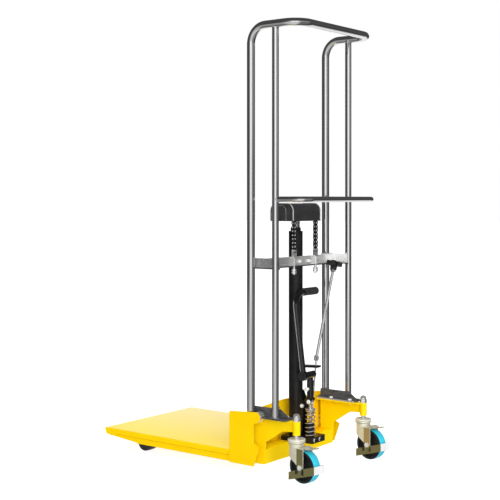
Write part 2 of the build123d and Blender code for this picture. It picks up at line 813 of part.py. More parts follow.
# Front chain runs, from the wheels down to the carriage
lug_pin_radius = 4.0
front_strand_half = 9.0
front_strand_depth = 6.0
with BuildPart() as front_chains:
    for strand_x in (-chain_x, chain_x):
        with BuildSketch(side(strand_x - front_strand_half)):
            with BuildLine():
                Polyline(
                    (chain_front_y - front_strand_depth, rear_run_top_z),
                    (chain_front_y + front_strand_depth, rear_run_top_z),
                    (chain_front_y + front_strand_depth, front_run_end_z - chain_plate_half),
                    (chain_front_y - front_strand_depth, front_run_end_z - chain_plate_half),
                    close=True,
                )
            make_face()
            with Locations((chain_front_y, front_run_end_z)):
                Circle(lug_pin_radius + running, mode=Mode.SUBTRACT)
        extrude(amount=2 * front_strand_half)
save(front_chains, "front_chains")

# Chain lugs on the carriage plate, with the pins that take the front chain ends
carriage_lug_sheet = 5.0
carriage_lug_x = front_strand_half + 1
lug_margin = 9.0
with BuildPart() as chain_lugs:
    for strand_x in (-chain_x, chain_x):
        for lug_x in (strand_x + carriage_lug_x, strand_x - carriage_lug_x - carriage_lug_sheet):
            with BuildSketch(side(lug_x)):
                with BuildLine():
                    Polyline(
                        (carriage_plate_y, front_run_end_z - 3 * lug_margin),
                        (carriage_plate_y, front_run_end_z + lug_margin),
                        (chain_front_y - lug_margin, front_run_end_z + lug_margin),
                        (chain_front_y - lug_margin, front_run_end_z - lug_margin),
                        close=True,
                    )
                make_face()
            extrude(amount=carriage_lug_sheet)
        with BuildSketch(side(strand_x - carriage_lug_x - carriage_lug_sheet)):
            with Locations((chain_front_y, front_run_end_z)):
                Circle(lug_pin_radius)
        extrude(amount=2 * (carriage_lug_x + carriage_lug_sheet))
save(chain_lugs, "chain_lugs")

# Carriage plate: ties the cheeks in front of the cylinder, cut away around the lower rollers
plate_notch_x = link_outer_x - 3
plate_notch_z = lower_roller_z + guide_roller_radius + 6
plate_shoulder_drop = 14.0
plate_shoulder_z = cheek_top_z - plate_shoulder_drop
with BuildPart() as carriage_plate:
    with BuildSketch(back(carriage_plate_y + carriage_plate_thickness)):
        with BuildLine():
            Polyline(
                (-plate_notch_x, carriage_plate_bottom_z),
                (-plate_notch_x, plate_notch_z),
                (-cheek_inner_x, plate_notch_z),
                (-cheek_inner_x, plate_shoulder_z),
                (0, cheek_top_z + 3),
                (cheek_inner_x, plate_shoulder_z),
                (cheek_inner_x, plate_notch_z),
                (plate_notch_x, plate_notch_z),
                (plate_notch_x, carriage_plate_bottom_z),
                close=True,
            )
        make_face()
    extrude(amount=carriage_plate_thickness)
save(carriage_plate, "carriage_plate")

# Cheeks: side plates outside the posts, with an ear for the upper roller and a lower flare
cheek_rear_y = -28.0
flare_rear_y = -58.0
flare_z = 115.0
flare_rise = 14.0
cheek_front_fall = 9.0
with BuildPart() as cheek:
    with BuildSketch(side(-cheek_outer_x)) as cheek_outline:
        with BuildLine():
            Polyline(
                (cheek_front_y, cheek_bottom_z),
                (cheek_front_y, cheek_top_z - cheek_front_fall),
                (upper_roller_y, upper_roller_z + guide_roller_radius),
                (upper_roller_y, upper_roller_z - guide_roller_radius),
                (cheek_rear_y, upper_roller_z - guide_roller_radius - 6),
                (cheek_rear_y, flare_z + flare_rise),
                (flare_rear_y, flare_z),
                (cheek_rear_y - 2, cheek_bottom_z),
                close=True,
            )
        make_face()
        with Locations((upper_roller_y, upper_roller_z)):
            Circle(guide_roller_radius)
        with Locations((upper_roller_y, upper_roller_z), (lower_roller_y, lower_roller_z)):
            Circle(guide_pin_radius, mode=Mode.SUBTRACT)
    extrude(amount=cheek_thickness)
save_pair(cheek, "cheek")

# Pins of the guide rollers, pressed into the cheeks
pin_inner_x = guide_roller_x - guide_roller_width / 2 - 1
with BuildPart() as roller_pins:
    with BuildSketch(side(-cheek_outer_x)):
        with Locations((upper_roller_y, upper_roller_z), (lower_roller_y, lower_roller_z)):
            Circle(guide_pin_radius)
    extrude(amount=cheek_outer_x - pin_inner_x)
    mirror(about=Plane.YZ)
save(roller_pins, "roller_pins")

# Guide rollers: the upper pair behind the posts, the lower pair in front
roller_places = (("upper", upper_roller_y, upper_roller_z), ("lower", lower_roller_y, lower_roller_z))
for level_name, roller_y, roller_z in roller_places:
    with BuildPart() as guide_rollers:
        with BuildSketch(side(-guide_roller_x - guide_roller_width / 2)):
            with Locations((roller_y, roller_z)):
                Circle(guide_roller_radius)
                Circle(guide_pin_radius + running, mode=Mode.SUBTRACT)
        extrude(amount=guide_roller_width)
        roller_rims = guide_rollers.edges().filter_by(GeomType.CIRCLE).group_by(SortBy.LENGTH)[-1]
        chamfer(roller_rims, 2)
        mirror(about=Plane.YZ)
    save(guide_rollers, f"{level_name}_guide_rollers")

# Forks: channels open below that carry the platform and pass over the legs
fork_top_z = platform_top_z - platform_sheet
fork_rear_y = carriage_plate_y + carriage_plate_thickness
fork_front_y = platform_front_y - nose_set_back - 2 * platform_sheet
with BuildPart() as fork:
    with BuildSketch(side(-cheek_inner_x)):
        with BuildLine():
            Polyline(
                (fork_rear_y, fork_bottom_z),
                (fork_rear_y, fork_top_z),
                (fork_front_y, fork_top_z),
                (fork_front_y, fork_bottom_z + fork_tip_rise),
                (fork_taper_start_y, fork_bottom_z),
                close=True,
            )
        make_face()
    extrude(amount=cheek_inner_x - fork_inner_x)
    fillet(fork.edges().filter_by(Axis.Y).group_by(Axis.Z)[-1], fork_sheet * 0.7)
    with BuildSketch(plan(fork_bottom_z)):
        fork_middle_x = (cheek_inner_x + fork_inner_x) / 2
        with Locations((-fork_middle_x, (fork_rear_y + fork_front_y) / 2)):
            fork_inside = cheek_inner_x - fork_inner_x - 2 * fork_sheet
            Rectangle(fork_inside, fork_front_y - fork_rear_y)
    extrude(amount=fork_top_z - fork_bottom_z - fork_sheet, mode=Mode.SUBTRACT)
save_pair(fork, "fork")

# Platform tray, folded down at its sides and at its leaning nose
skirt_bottom_z = platform_top_z - platform_skirt
nose_bottom_z = platform_top_z - nose_depth
nose_blend = 60.0
nose_fold = 6.0
nose_lean = nose_set_back / nose_depth
fold_loss = nose_fold * (sqrt(1 + nose_lean**2) + nose_lean - 1)
nose_corner_y = platform_front_y + fold_loss
with BuildPart() as platform:
    with BuildSketch(side(-platform_half_width)):
        with BuildLine():
            Polyline(
                (platform_rear_y, skirt_bottom_z),
                (platform_rear_y, platform_top_z),
                (nose_corner_y, platform_top_z),
                (nose_corner_y - nose_set_back, nose_bottom_z),
                (nose_corner_y - nose_set_back - nose_blend, skirt_bottom_z),
                close=True,
            )
        make_face()
    extrude(amount=2 * platform_half_width)
    nose_edges = platform.edges().group_by(Axis.Y)[-1].sort_by(Axis.Z)[-1:]
    fillet(nose_edges, nose_fold)
    with BuildSketch(side(-platform_half_width + platform_sheet)):
        with BuildLine():
            Polyline(
                (platform_rear_y, nose_bottom_z),
                (platform_rear_y, fork_top_z),
                (nose_corner_y - 2 * platform_sheet, fork_top_z),
                (nose_corner_y - nose_set_back - platform_sheet, nose_bottom_z),
                close=True,
            )
        make_face()
    extrude(amount=2 * (platform_half_width - platform_sheet), mode=Mode.SUBTRACT)
save(platform, "platform_tray")

# Pump barrel and plunger, with a collar and the washer that the return spring pushes
with BuildPart() as pump_barrel:
    with BuildSketch(plan(block_top_z)):
        with Locations((0, plunger_y)):
            Circle(barrel_radius)
            Circle(plunger_radius + running, mode=Mode.SUBTRACT)
    extrude(amount=barrel_height)
    barrel_rims = pump_barrel.edges().filter_by(GeomType.CIRCLE).group_by(Axis.Z)[-1]
    chamfer(barrel_rims.sort_by(SortBy.LENGTH)[-1:], 2)
save(pump_barrel, "pump_barrel")

plunger_travel = 30.0
with BuildPart() as plunger:
    with BuildSketch(plan(block_top_z + plunger_travel)):
        with Locations((0, plunger_y)):
            Circle(plunger_radius)
    extrude(amount=plunger_top_z - block_top_z - plunger_travel)
    with BuildSketch(plan(spring_seat_z)):
        with Locations((0, plunger_y)):
            Circle(spring_outer_radius)
    extrude(amount=washer_thickness)
    with BuildSketch(plan(block_top_z + barrel_height + plunger_travel)):
        with Locations((0, plunger_y)):
            Circle(collar_radius)
    extrude(amount=spring_seat_z - block_top_z - barrel_height - plunger_travel)
    chamfer(plunger.edges().filter_by(GeomType.CIRCLE).group_by(Axis.Z)[-1], 1)
save(plunger, "pump_plunger")

# Return spring: one wire, each quarter turn made of two arcs that share a tangent
wire_radius = spring_wire / 2
coil_radius = spring_outer_radius - wire_radius
spring_bottom_z = block_top_z + wire_radius + seat_gap
spring_rise = spring_seat_z - wire_radius - seat_gap - spring_bottom_z
quarters = 4 * spring_turns
quarter_rise = spring_rise / quarters
lead = sqrt((pi / 2 * coil_radius) ** 2 + quarter_rise**2)
rise_share = quarter_rise / lead
turn_share = pi / 2 * coil_radius / lead
half_rise = quarter_rise / 2
slope_term = rise_share / turn_share * half_rise / sin(pi / 4)
meet_radius = -slope_term + sqrt(
    slope_term**2 + 2 * slope_term * coil_radius * cos(pi / 4) + coil_radius**2 + half_rise**2
)


def coil_point(quarter, radius):
    """Point of the coil after a number of quarter turns, at a radius."""
    angle = quarter * pi / 2
    height = spring_bottom_z + quarter * quarter_rise
    return spot(radius * cos(angle), plunger_y + radius * sin(angle), height)


def coil_direction(quarter):
    """Direction of the wire after a number of quarter turns."""
    angle = quarter * pi / 2
    return Vector(-sin(angle) * turn_share, cos(angle) * turn_share, rise_share)


with BuildPart() as spring:
    with BuildLine() as coil:
        for quarter in range(quarters):
            first = coil_point(quarter, coil_radius)
            meeting = coil_point(quarter + 0.5, meet_radius)
            last = coil_point(quarter + 1, coil_radius)
            entering = TangentArc(first, meeting, tangent=coil_direction(quarter))
            TangentArc(meeting, last, tangent=entering % 1)
    coil_wire = coil.wire()
    with BuildSketch(Plane(coil_wire @ 0, z_dir=coil_wire % 0)):
        Circle(wire_radius)
    sweep(path=coil_wire)
save(spring, "pump_spring")
sample_count = 400
samples = [coil_wire @ (k / sample_count) for k in range(sample_count + 1)]
half_turn = int(sample_count / (2 * spring_turns))
gap_list = [
    (samples[j] - samples[i]).length - spring_wire
    for i in range(sample_count + 1)
    for j in range(i + half_turn, sample_count + 1)
]
print("least gap between spring turns, mm:", round(min(gap_list), 2))

# Bracket plates of the pump lever on the cylinder, and the tongue that guides the valve rod
ear_radius = 12.0
bracket_top_z = 300.0
tongue_end_x = 62.0
tongue_rear_y = -113.0
tongue_waist_x = 34.0
tongue_front_y = -88.0
tongue_sheet = 8.0
with BuildPart() as cylinder_brackets:
    for plate_x in (lever_bracket_x, -lever_bracket_x - bracket_sheet):
        with BuildSketch(side(plate_x)):
            with BuildLine():
                Polyline(
                    (cylinder_y, block_top_z),
                    (cylinder_y, bracket_top_z),
                    (cylinder_y - cylinder_radius, bracket_top_z),
                    (lever_pivot_y - 0.7 * ear_radius, lever_pivot_z + 0.7 * ear_radius),
                    (lever_pivot_y - bracket_sheet, lever_pivot_z - ear_radius),
                    (lever_pivot_y + bracket_sheet, block_top_z),
                    close=True,
                )
            make_face()
            with Locations((lever_pivot_y, lever_pivot_z)):
                Circle(ear_radius)
                Circle(lever_pin_radius, mode=Mode.SUBTRACT)
        extrude(amount=bracket_sheet)
    with BuildSketch(plan(guide_tongue_z)):
        with BuildLine():
            Polyline(
                (0, cylinder_y),
                (tongue_waist_x, cylinder_y),
                (tongue_end_x, tongue_front_y),
                (tongue_end_x, tongue_rear_y),
                (tongue_waist_x, tongue_rear_y),
                close=True,
            )
        make_face()
    extrude(amount=tongue_sheet)
    with BuildSketch(plan(block_top_z)):
        with Locations((0, cylinder_y)):
            Circle(cylinder_radius)
    extrude(amount=cylinder_top_z - block_top_z, mode=Mode.SUBTRACT)
    with BuildSketch(Plane(valve_spot, z_dir=valve_axis)):
        Circle(valve_rod_radius + running)
    extrude(amount=joint_point[2] - block_top_z, mode=Mode.SUBTRACT)
save(cylinder_brackets, "cylinder_brackets")

# Lever socket: rocker plates on the pivot pin, and the upright socket tube
rocker_x = 8.0
rocker_margin = 5.0
roller_pin_radius = 4.0
rocker_top_z = lever_roller_z + lever_roller_radius + rocker_margin
with BuildPart() as lever_socket:
    for plate_x in (rocker_x, -rocker_x - bracket_sheet):
        with BuildSketch(side(plate_x)):
            with Locations((lever_pivot_y, lever_pivot_z)):
                Circle(lever_pin_radius + rocker_margin)
            with Locations((plunger_y, lever_roller_z)):
                Circle(roller_pin_radius + rocker_margin - 1)
            with Locations((plunger_y, rocker_top_z)):
                Rectangle(2 * socket_radius, 2 * rocker_margin, align=(Align.CENTER, Align.MAX))
            make_hull()
        extrude(amount=bracket_sheet)
    with BuildSketch(plan(rocker_top_z)):
        with Locations((0, plunger_y)):
            Rectangle(2 * (rocker_x + bracket_sheet), 2 * socket_radius)
    extrude(amount=-bracket_sheet)
    with BuildSketch(plan(rocker_top_z)):
        with Locations((0, plunger_y)):
            Circle(socket_radius)
    extrude(amount=socket_top_z - rocker_top_z)
    with BuildSketch(side(-rocker_x - bracket_sheet)):
        with Locations((plunger_y, lever_roller_z)):
            Circle(roller_pin_radius)
    extrude(amount=2 * (rocker_x + bracket_sheet))
    with BuildSketch(side(-rocker_x - bracket_sheet)):
        with Locations((lever_pivot_y, lever_pivot_z)):
            Circle(lever_pin_radius + running)
    extrude(amount=2 * (rocker_x + bracket_sheet), mode=Mode.SUBTRACT)
save(lever_socket, "lever_socket")

# Roller at the rocker's nose, which presses the plunger down
with BuildPart() as lever_roller:
    with BuildSketch(side(-rocker_x + seat_gap)):
        with Locations((plunger_y, lever_roller_z)):
            Circle(lever_roller_radius)
            Circle(roller_pin_radius + running, mode=Mode.SUBTRACT)
    extrude(amount=2 * (rocker_x - seat_gap))
save(lever_roller, "lever_roller")

# Lever handle: neck, cross hub, eye and the bent stem
hub_end_x = 15.0
with BuildPart() as lever_handle:
    with BuildSketch(plan(socket_top_z)):
        with Locations((0, plunger_y)):
            Circle(socket_radius - 2)
    extrude(amount=lever_hub_z - socket_top_z)
    with BuildSketch(side(lever_stem_x)):
        with Locations((lever_hub_y, lever_hub_z)):
            Circle(lever_hub_radius)
    extrude(amount=hub_end_x - lever_stem_x)
    with BuildSketch(side(lever_stem_x - lever_stem_radius)):
        with Locations((lever_hub_y, lever_hub_z)):
            Circle(lever_hub_radius + 5)
    extrude(amount=2 * lever_stem_radius)
    with BuildLine() as stem_path:
        FilletPolyline(
            spot(lever_stem_x, lever_hub_y, lever_hub_z),
            spot(lever_top_x, grip_y, grip_z),
            spot(grip_end_x, grip_y, grip_z),
            radius=lever_bend,
        )
    with BuildSketch(Plane(stem_path.line @ 0, z_dir=stem_path.line % 0)):
        Circle(lever_stem_radius)
    sweep(path=stem_path.line)
save(lever_handle, "lever_handle")

# Rubber grip, closed at its end
with BuildPart() as lever_grip:
    with BuildSketch(side(grip_end_x - grip_length)):
        with Locations((grip_y, grip_z)):
            Circle(grip_radius)
    extrude(amount=grip_length + 3)
    with BuildSketch(side(grip_end_x - grip_length)):
        with Locations((grip_y, grip_z)):
            Circle(lever_stem_radius)
    extrude(amount=grip_length, mode=Mode.SUBTRACT)
    fillet(lever_grip.edges().group_by(Axis.X)[-1], 2.5)
save(lever_grip, "lever_grip")

# Bolts of the mast feet and the pump block, and the pin of the pump lever
block_bolt_inset = 16.0
block_bolt_pitch = 38.0
block_bolt_x = block_rear_left_x + block_bolt_inset
pin_half = lever_bracket_x + bracket_sheet
with BuildPart() as frame_bolts:
    with BuildSketch(plan(foot_top_z)):
        with Locations(*bolt_spots):
            RegularPolygon(frame_bolt_head, 6)
    extrude(amount=frame_bolt_head_height)
    with BuildSketch(plan(arm_top_z - base_sheet)):
        with Locations(*bolt_spots):
            RegularPolygon(frame_bolt_head, 6)
    extrude(amount=-frame_nut_height)
    with BuildSketch(plan(arm_top_z - base_sheet)):
        with Locations(*bolt_spots):
            Circle(frame_bolt_radius)
    extrude(amount=2 * base_sheet)
    mirror(about=Plane.YZ)
    with BuildSketch(back(block_rear_y)):
        with Locations((block_bolt_x, block_middle_z), (block_bolt_x + block_bolt_pitch, block_middle_z)):
            RegularPolygon(frame_bolt_head, 6)
    extrude(amount=frame_bolt_head_height)
    with BuildSketch(side(-pin_half)):
        with Locations((lever_pivot_y, lever_pivot_z)):
            Circle(lever_pin_radius)
    extrude(amount=2 * pin_half)
    for head_x in (-pin_half - frame_bolt_head_height, pin_half):
        with BuildSketch(side(head_x)):
            with Locations((lever_pivot_y, lever_pivot_z)):
                RegularPolygon(frame_bolt_head, 6)
        extrude(amount=frame_bolt_head_height)
save(frame_bolts, "frame_bolts")

# Knob, and its rod down to the joint ring
lobe_height = 21.0
lobe_radius = 9.0
with BuildPart() as knob:
    with BuildSketch(Plane(knob_spot, z_dir=rod_axis)):
        Circle(knob_radius - lobe_radius - 4)
        with PolarLocations(knob_radius - lobe_radius, 4, start_angle=20):
            Circle(lobe_radius)
        with PolarLocations((knob_radius - lobe_radius) / 2, 4, start_angle=20):
            Rectangle(knob_radius - lobe_radius, 1.6 * lobe_radius)
    extrude(amount=lobe_height)
    with BuildSketch(Plane(knob_spot - rod_axis * knob_hub_below, z_dir=rod_axis)):
        Circle(knob_hub_radius)
    extrude(amount=knob_hub_below)
    with BuildSketch(Plane(knob_spot - rod_axis * knob_hub_below, z_dir=rod_axis)):
        Circle(control_rod_radius)
    extrude(amount=knob_hub_below, mode=Mode.SUBTRACT)
save(knob, "release_knob")

joint_width = 10.0
rod_length = (knob_spot - joint_spot).length
with BuildPart() as knob_rod:
    with BuildSketch(Plane(joint_spot, z_dir=rod_axis)):
        Circle(control_rod_radius)
    extrude(amount=rod_length)
    with BuildSketch(back(joint_point[1] + joint_width / 2)):
        with Locations((joint_point[0], joint_point[2])):
            Circle(joint_radius)
    extrude(amount=joint_width)
    with BuildSketch(back(joint_point[1] + joint_width / 2)):
        with Locations((joint_point[0], joint_point[2])):
            Circle(joint_radius / 2)
    extrude(amount=joint_width, mode=Mode.SUBTRACT)
save(knob_rod, "knob_rod")

# Valve rod, from the joint through the guide tongue into the valve's bore
valve_start = valve_spot + valve_axis * (valve_boss_height - valve_bore_depth + seat_gap)
valve_length = (joint_spot - valve_start).length - joint_radius - 1
with BuildPart() as valve_rod:
    with BuildSketch(Plane(valve_start, z_dir=valve_axis)):
        Circle(valve_rod_radius)
    extrude(amount=valve_length)
save(valve_rod, "valve_rod")

# Caster stems with their flange and dome nut
stem_flange = 6.0
stem_flange_radius = caster_stem_radius + 7
stem_bottom_z = caster_fork_top_z - caster_fork_sheet - stem_flange
with BuildPart() as caster_stems:
    with BuildSketch(plan(stem_bottom_z)):
        with Locations((-caster_x, caster_y)):
            Circle(stem_flange_radius)
    extrude(amount=stem_flange - seat_gap)
    with BuildSketch(plan(stem_bottom_z)):
        with Locations((-caster_x, caster_y)):
            Circle(caster_stem_radius)
    extrude(amount=arm_top_z - stem_bottom_z)
    with BuildSketch(plan(arm_top_z)):
        with Locations((-caster_x, caster_y)):
            RegularPolygon(caster_sleeve_radius, 6)
    extrude(amount=caster_cap_height / 2)
    with BuildSketch(plan(arm_top_z + caster_cap_height / 2)):
        with Locations((-caster_x, caster_y)):
            Circle(caster_sleeve_radius * 0.85)
    extrude(amount=caster_cap_height / 2)
    fillet(caster_stems.edges().group_by(Axis.Z)[-1], caster_sleeve_radius * 0.7)
    mirror(about=Plane.YZ)
save(caster_stems, "caster_stems")

# Swivel races, fixed on the stems
race_round = 2.4
with BuildPart() as caster_races:
    with BuildSketch(plan(race_bottom_z)):
        with Locations((-caster_x, caster_y)):
            Circle(caster_head_radius)
            Circle(caster_stem_radius, mode=Mode.SUBTRACT)
    extrude(amount=race_top_z - race_bottom_z)
    race_rims = caster_races.edges().filter_by(GeomType.CIRCLE).group_by(SortBy.LENGTH)[-1]
    fillet(race_rims, race_round)
    mirror(about=Plane.YZ)
save(caster_races, "caster_races")

# Caster forks: pressed sheet that wraps the wheel's front, with the lower race and the axle bolt
fork_leg_half = 14.0
fork_leg_rear_y = wheel_y - fork_leg_half
fork_cut_z = 106.0
leg_end_z = 36.5
axle_head_radius = 10.0
axle_head_height = 6.0
with BuildPart() as caster_fork:
    with BuildSketch(plan(0)):
        with Locations((-caster_x, caster_y)):
            Circle(fork_outer)
            Rectangle(2 * fork_outer, caster_y - fork_leg_rear_y, align=(Align.CENTER, Align.MAX))
    extrude(amount=caster_fork_top_z)
    with BuildSketch(plan(0)):
        with Locations((-caster_x, caster_y)):
            Circle(caster_fork_gap)
            Rectangle(
                2 * caster_fork_gap,
                caster_y - fork_leg_rear_y,
                align=(Align.CENTER, Align.MAX),
            )
    extrude(amount=caster_fork_top_z - caster_fork_sheet, mode=Mode.SUBTRACT)
    with BuildSketch(side(-caster_x - fork_outer)):
        with BuildLine():
            Polyline(
                (caster_y + fork_outer, 0),
                (caster_y + fork_outer, fork_cut_z),
                (wheel_y + fork_leg_half + 2, caster_wheel_radius + 6),
                (wheel_y + fork_leg_half, leg_end_z),
                (fork_leg_rear_y, leg_end_z),
                (fork_leg_rear_y, 0),
                close=True,
            )
        make_face()
    extrude(amount=2 * fork_outer, mode=Mode.SUBTRACT)
    with BuildSketch(plan(caster_fork_top_z)):
        with Locations((-caster_x, caster_y)):
            Circle(fork_outer)
    extrude(amount=race_low_z - caster_fork_top_z)
    with BuildSketch(plan(race_low_z)):
        with Locations((-caster_x, caster_y)):
            Circle(caster_head_radius)
    extrude(amount=race_bottom_z - race_low_z - seat_gap)
    fillet(caster_fork.edges().group_by(Axis.Z)[-1], race_round)
    with BuildSketch(plan(0)):
        with Locations((-caster_x, caster_y)):
            Circle(caster_stem_radius + running)
    extrude(amount=race_bottom_z, mode=Mode.SUBTRACT)
    with BuildSketch(side(-caster_x - fork_outer)):
        with Locations((wheel_y, caster_wheel_radius)):
            Circle(caster_axle_radius)
    extrude(amount=2 * fork_outer)
    for head_x in (-caster_x - fork_outer - axle_head_height, -caster_x + fork_outer):
        with BuildSketch(side(head_x)):
            with Locations((wheel_y, caster_wheel_radius)):
                RegularPolygon(axle_head_radius, 6)
        extrude(amount=axle_head_height)
save_casters(caster_fork, "caster_fork")

# Toe guards: bent strips rising to the rear, slotted on the fork legs and cut clear of the axle bolts
guard_rise = 38.4
guard_front_z = 7.4
hook_slot_set = 11.0
hook_slot_width = 4.0
hook_slot_z = 37.0
axle_room = 1.5
tab_top_z = caster_wheel_radius - axle_head_radius - axle_room
with BuildPart() as toe_guard:
    with BuildSketch(side(-caster_x - guard_half)):
        with BuildLine():
            Polyline(
                (guard_front_y, guard_front_z),
                (guard_front_y, guard_front_z + guard_height),
                (guard_rear_y, guard_front_z + guard_height + guard_rise),
                (guard_rear_y, guard_front_z + guard_rise),
                close=True,
            )
        make_face()
    extrude(amount=2 * guard_half)
    with BuildSketch(plan(0)):
        with Locations((-caster_x, guard_front_y)):
            Rectangle(
                2 * (guard_half - guard_sheet),
                guard_front_y - guard_rear_y - guard_sheet,
                align=(Align.CENTER, Align.MAX),
            )
    extrude(amount=caster_fork_top_z, mode=Mode.SUBTRACT)
    with BuildSketch(side(-caster_x - guard_half)):
        with Locations((wheel_y - hook_slot_set, hook_slot_z), (wheel_y + hook_slot_set, hook_slot_z)):
            Rectangle(hook_slot_width, guard_height, align=(Align.CENTER, Align.MIN))
        with Locations((wheel_y, tab_top_z)):
            Rectangle(2 * hook_slot_set, guard_height, align=(Align.CENTER, Align.MIN))
    extrude(amount=2 * guard_half, mode=Mode.SUBTRACT)
save_casters(toe_guard, "toe_guard")

# Caster wheels: elastic tyre on a moulded hub
with BuildPart() as tyre:
    with BuildSketch(side(-caster_x - caster_wheel_width / 2)):
        with Locations((wheel_y, caster_wheel_radius)):
            Circle(caster_wheel_radius)
            Circle(caster_hub_radius, mode=Mode.SUBTRACT)
    extrude(amount=caster_wheel_width)
    tyre_rims = tyre.edges().filter_by(GeomType.CIRCLE).group_by(SortBy.LENGTH)[-1]
    fillet(tyre_rims, tyre_round)
save_casters(tyre, "caster_tyre")

hub_web = 16.0
hub_boss_radius = 14.0
with BuildPart() as hub:
    with BuildSketch(side(-caster_x - caster_wheel_width / 2 + 1)):
        with Locations((wheel_y, caster_wheel_radius)):
            Circle(caster_hub_radius)
    extrude(amount=caster_wheel_width - 2)
    web_cut = (caster_wheel_width - 2 - hub_web) / 2
    for cut_x in (-caster_x - caster_wheel_width / 2 + 1, -caster_x + hub_web / 2):
        with BuildSketch(side(cut_x)):
            with Locations((wheel_y, caster_wheel_radius)):
                Circle(caster_hub_radius - 6)
                Circle(hub_boss_radius, mode=Mode.SUBTRACT)
        extrude(amount=web_cut, mode=Mode.SUBTRACT)
    with BuildSketch(side(-caster_x - caster_fork_gap + seat_gap)):
        with Locations((wheel_y, caster_wheel_radius)):
            Circle(hub_boss_radius)
    extrude(amount=2 * (caster_fork_gap - seat_gap))
    with BuildSketch(side(-caster_x - caster_fork_gap)):
        with Locations((wheel_y, caster_wheel_radius)):
            Circle(caster_axle_radius + running)
    extrude(amount=2 * caster_fork_gap, mode=Mode.SUBTRACT)
save_casters(hub, "caster_hub")

# Brake pedals over the wheels, each turning on a round hinge at the rear of the fork top
pedal_hinge_y = fork_leg_rear_y + 2 * pedal_hinge_radius
pedal_hinge_z = caster_fork_top_z + seat_gap + pedal_hinge_radius
pedal_plate_z = pedal_hinge_z + 0.8 * pedal_hinge_radius
pedal_relief_z = pedal_plate_z - pedal_sheet
pedal_dip_y = fork_leg_rear_y - 12
pedal_dip_z = caster_fork_top_z + 2
pedal_tip_z = caster_fork_top_z + 8
with BuildPart() as pedal:
    with BuildSketch(side(-caster_x - pedal_half_width)):
        with BuildLine():
            Polyline(
                (pedal_hinge_y, pedal_relief_z),
                (pedal_hinge_y, pedal_plate_z),
                (fork_leg_rear_y, pedal_plate_z),
                (pedal_dip_y, pedal_dip_z),
                (pedal_tip_y, pedal_tip_z),
                (pedal_tip_y, pedal_tip_z - pedal_sheet),
                (pedal_dip_y, pedal_dip_z - pedal_sheet),
                (fork_leg_rear_y, pedal_relief_z),
                close=True,
            )
        make_face()
        with Locations((pedal_hinge_y, pedal_hinge_z)):
            Circle(pedal_hinge_radius)
    extrude(amount=2 * pedal_half_width)
    fillet(pedal.edges().filter_by(Axis.Z).group_by(Axis.Y)[0], pedal_half_width / 2)
save_casters(pedal, "brake_pedal")
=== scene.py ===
# %% [markdown]
# # A hand-pumped platform stacker
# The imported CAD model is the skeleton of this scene: every plate, bracket and axle is already in
# place, in metres, with +Y pointing from the mast to the platform's nose. This lesson gives those
# nodes their finishes and adds, as surfaces worked out with numpy, the round and repeated forms
# that a coarse CAD mesh shows poorly: bent tubes, chain links, the spring, tyres, knobs and welds.

# %% Load the frame
import math

import bmesh
import bpy
import numpy as np
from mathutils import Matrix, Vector


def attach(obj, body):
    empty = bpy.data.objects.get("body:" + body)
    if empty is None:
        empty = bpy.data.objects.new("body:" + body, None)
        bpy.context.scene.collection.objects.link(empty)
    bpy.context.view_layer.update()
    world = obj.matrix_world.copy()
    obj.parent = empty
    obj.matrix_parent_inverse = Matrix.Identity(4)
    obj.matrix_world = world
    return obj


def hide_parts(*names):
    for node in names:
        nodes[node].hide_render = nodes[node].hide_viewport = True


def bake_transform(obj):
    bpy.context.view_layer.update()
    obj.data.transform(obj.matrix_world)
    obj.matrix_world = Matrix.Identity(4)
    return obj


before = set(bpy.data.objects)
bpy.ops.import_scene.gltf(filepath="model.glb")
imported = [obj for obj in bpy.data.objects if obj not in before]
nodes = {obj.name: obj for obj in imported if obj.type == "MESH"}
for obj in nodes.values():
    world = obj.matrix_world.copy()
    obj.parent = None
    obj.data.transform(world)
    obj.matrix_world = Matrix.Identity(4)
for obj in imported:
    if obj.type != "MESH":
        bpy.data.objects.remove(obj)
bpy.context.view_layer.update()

# %% [markdown]
# ## Measures
# Lengths below are in millimetres, measured from the floor point midway between the two front
# posts, as a fitter would measure the machine. One helper turns them into metres in the frame.

# %% Measures and the change of frame
MIDDLE_Y = 233.0
MM = 0.001
OFF_AXIS = (0.31, 0.52, 0.79)


def at(points):
    """Millimetres from the front posts become metres in the frame: shift Y, then scale."""
    return (np.asarray(points, float) - (0.0, MIDDLE_Y, 0.0)) * MM


def unit(vectors):
    """Each vector divided by its own length."""
    vectors = np.asarray(vectors, float)
    return vectors / np.linalg.norm(vectors, axis=-1, keepdims=True)


def cross_axes(way):
    """Two unit axes across a way: way x OFF_AXIS, a direction that no piece follows, and way x that."""
    first = unit(np.cross(way, OFF_AXIS))
    return first, np.cross(way, first)


def even_angles(count):
    """Angles of a full turn in that many even steps."""
    return np.linspace(0, 2 * np.pi, count, endpoint=False)


def spokes(angles, first, second):
    """Points of a unit circle, cos(angle) first axis + sin(angle) second axis."""
    return np.cos(angles)[..., None] * first + np.sin(angles)[..., None] * second


print("front posts stand at Y", at((0, 0, 0))[1])

# %% [markdown]
# ## From arrays to meshes
# A surface here is a grid of points: one parameter runs along the rows, the other along the
# columns. Neighbouring points make four-sided faces. A grid may close on itself in either
# direction, which is how a tube or a ring is made without a seam. Primitives and modifiers could
# make some of these forms, but a formula keeps every size in a named value.

# %% Grids, meshes and copies


def grid_faces(rows, columns, close_rows=False, close_columns=False):
    """Corner numbers of the quads of a grid: (r, c), (r, c+1), (r+1, c+1), (r+1, c)."""
    r = np.arange(rows if close_rows else rows - 1)[:, None]
    c = np.arange(columns if close_columns else columns - 1)[None, :]
    r_next, c_next = (r + 1) % rows, (c + 1) % columns
    corners = (r * columns + c, r * columns + c_next, r_next * columns + c_next, r_next * columns + c)
    return np.stack([corner + 0 * (r + c) for corner in corners], -1).reshape(-1, 4).tolist()


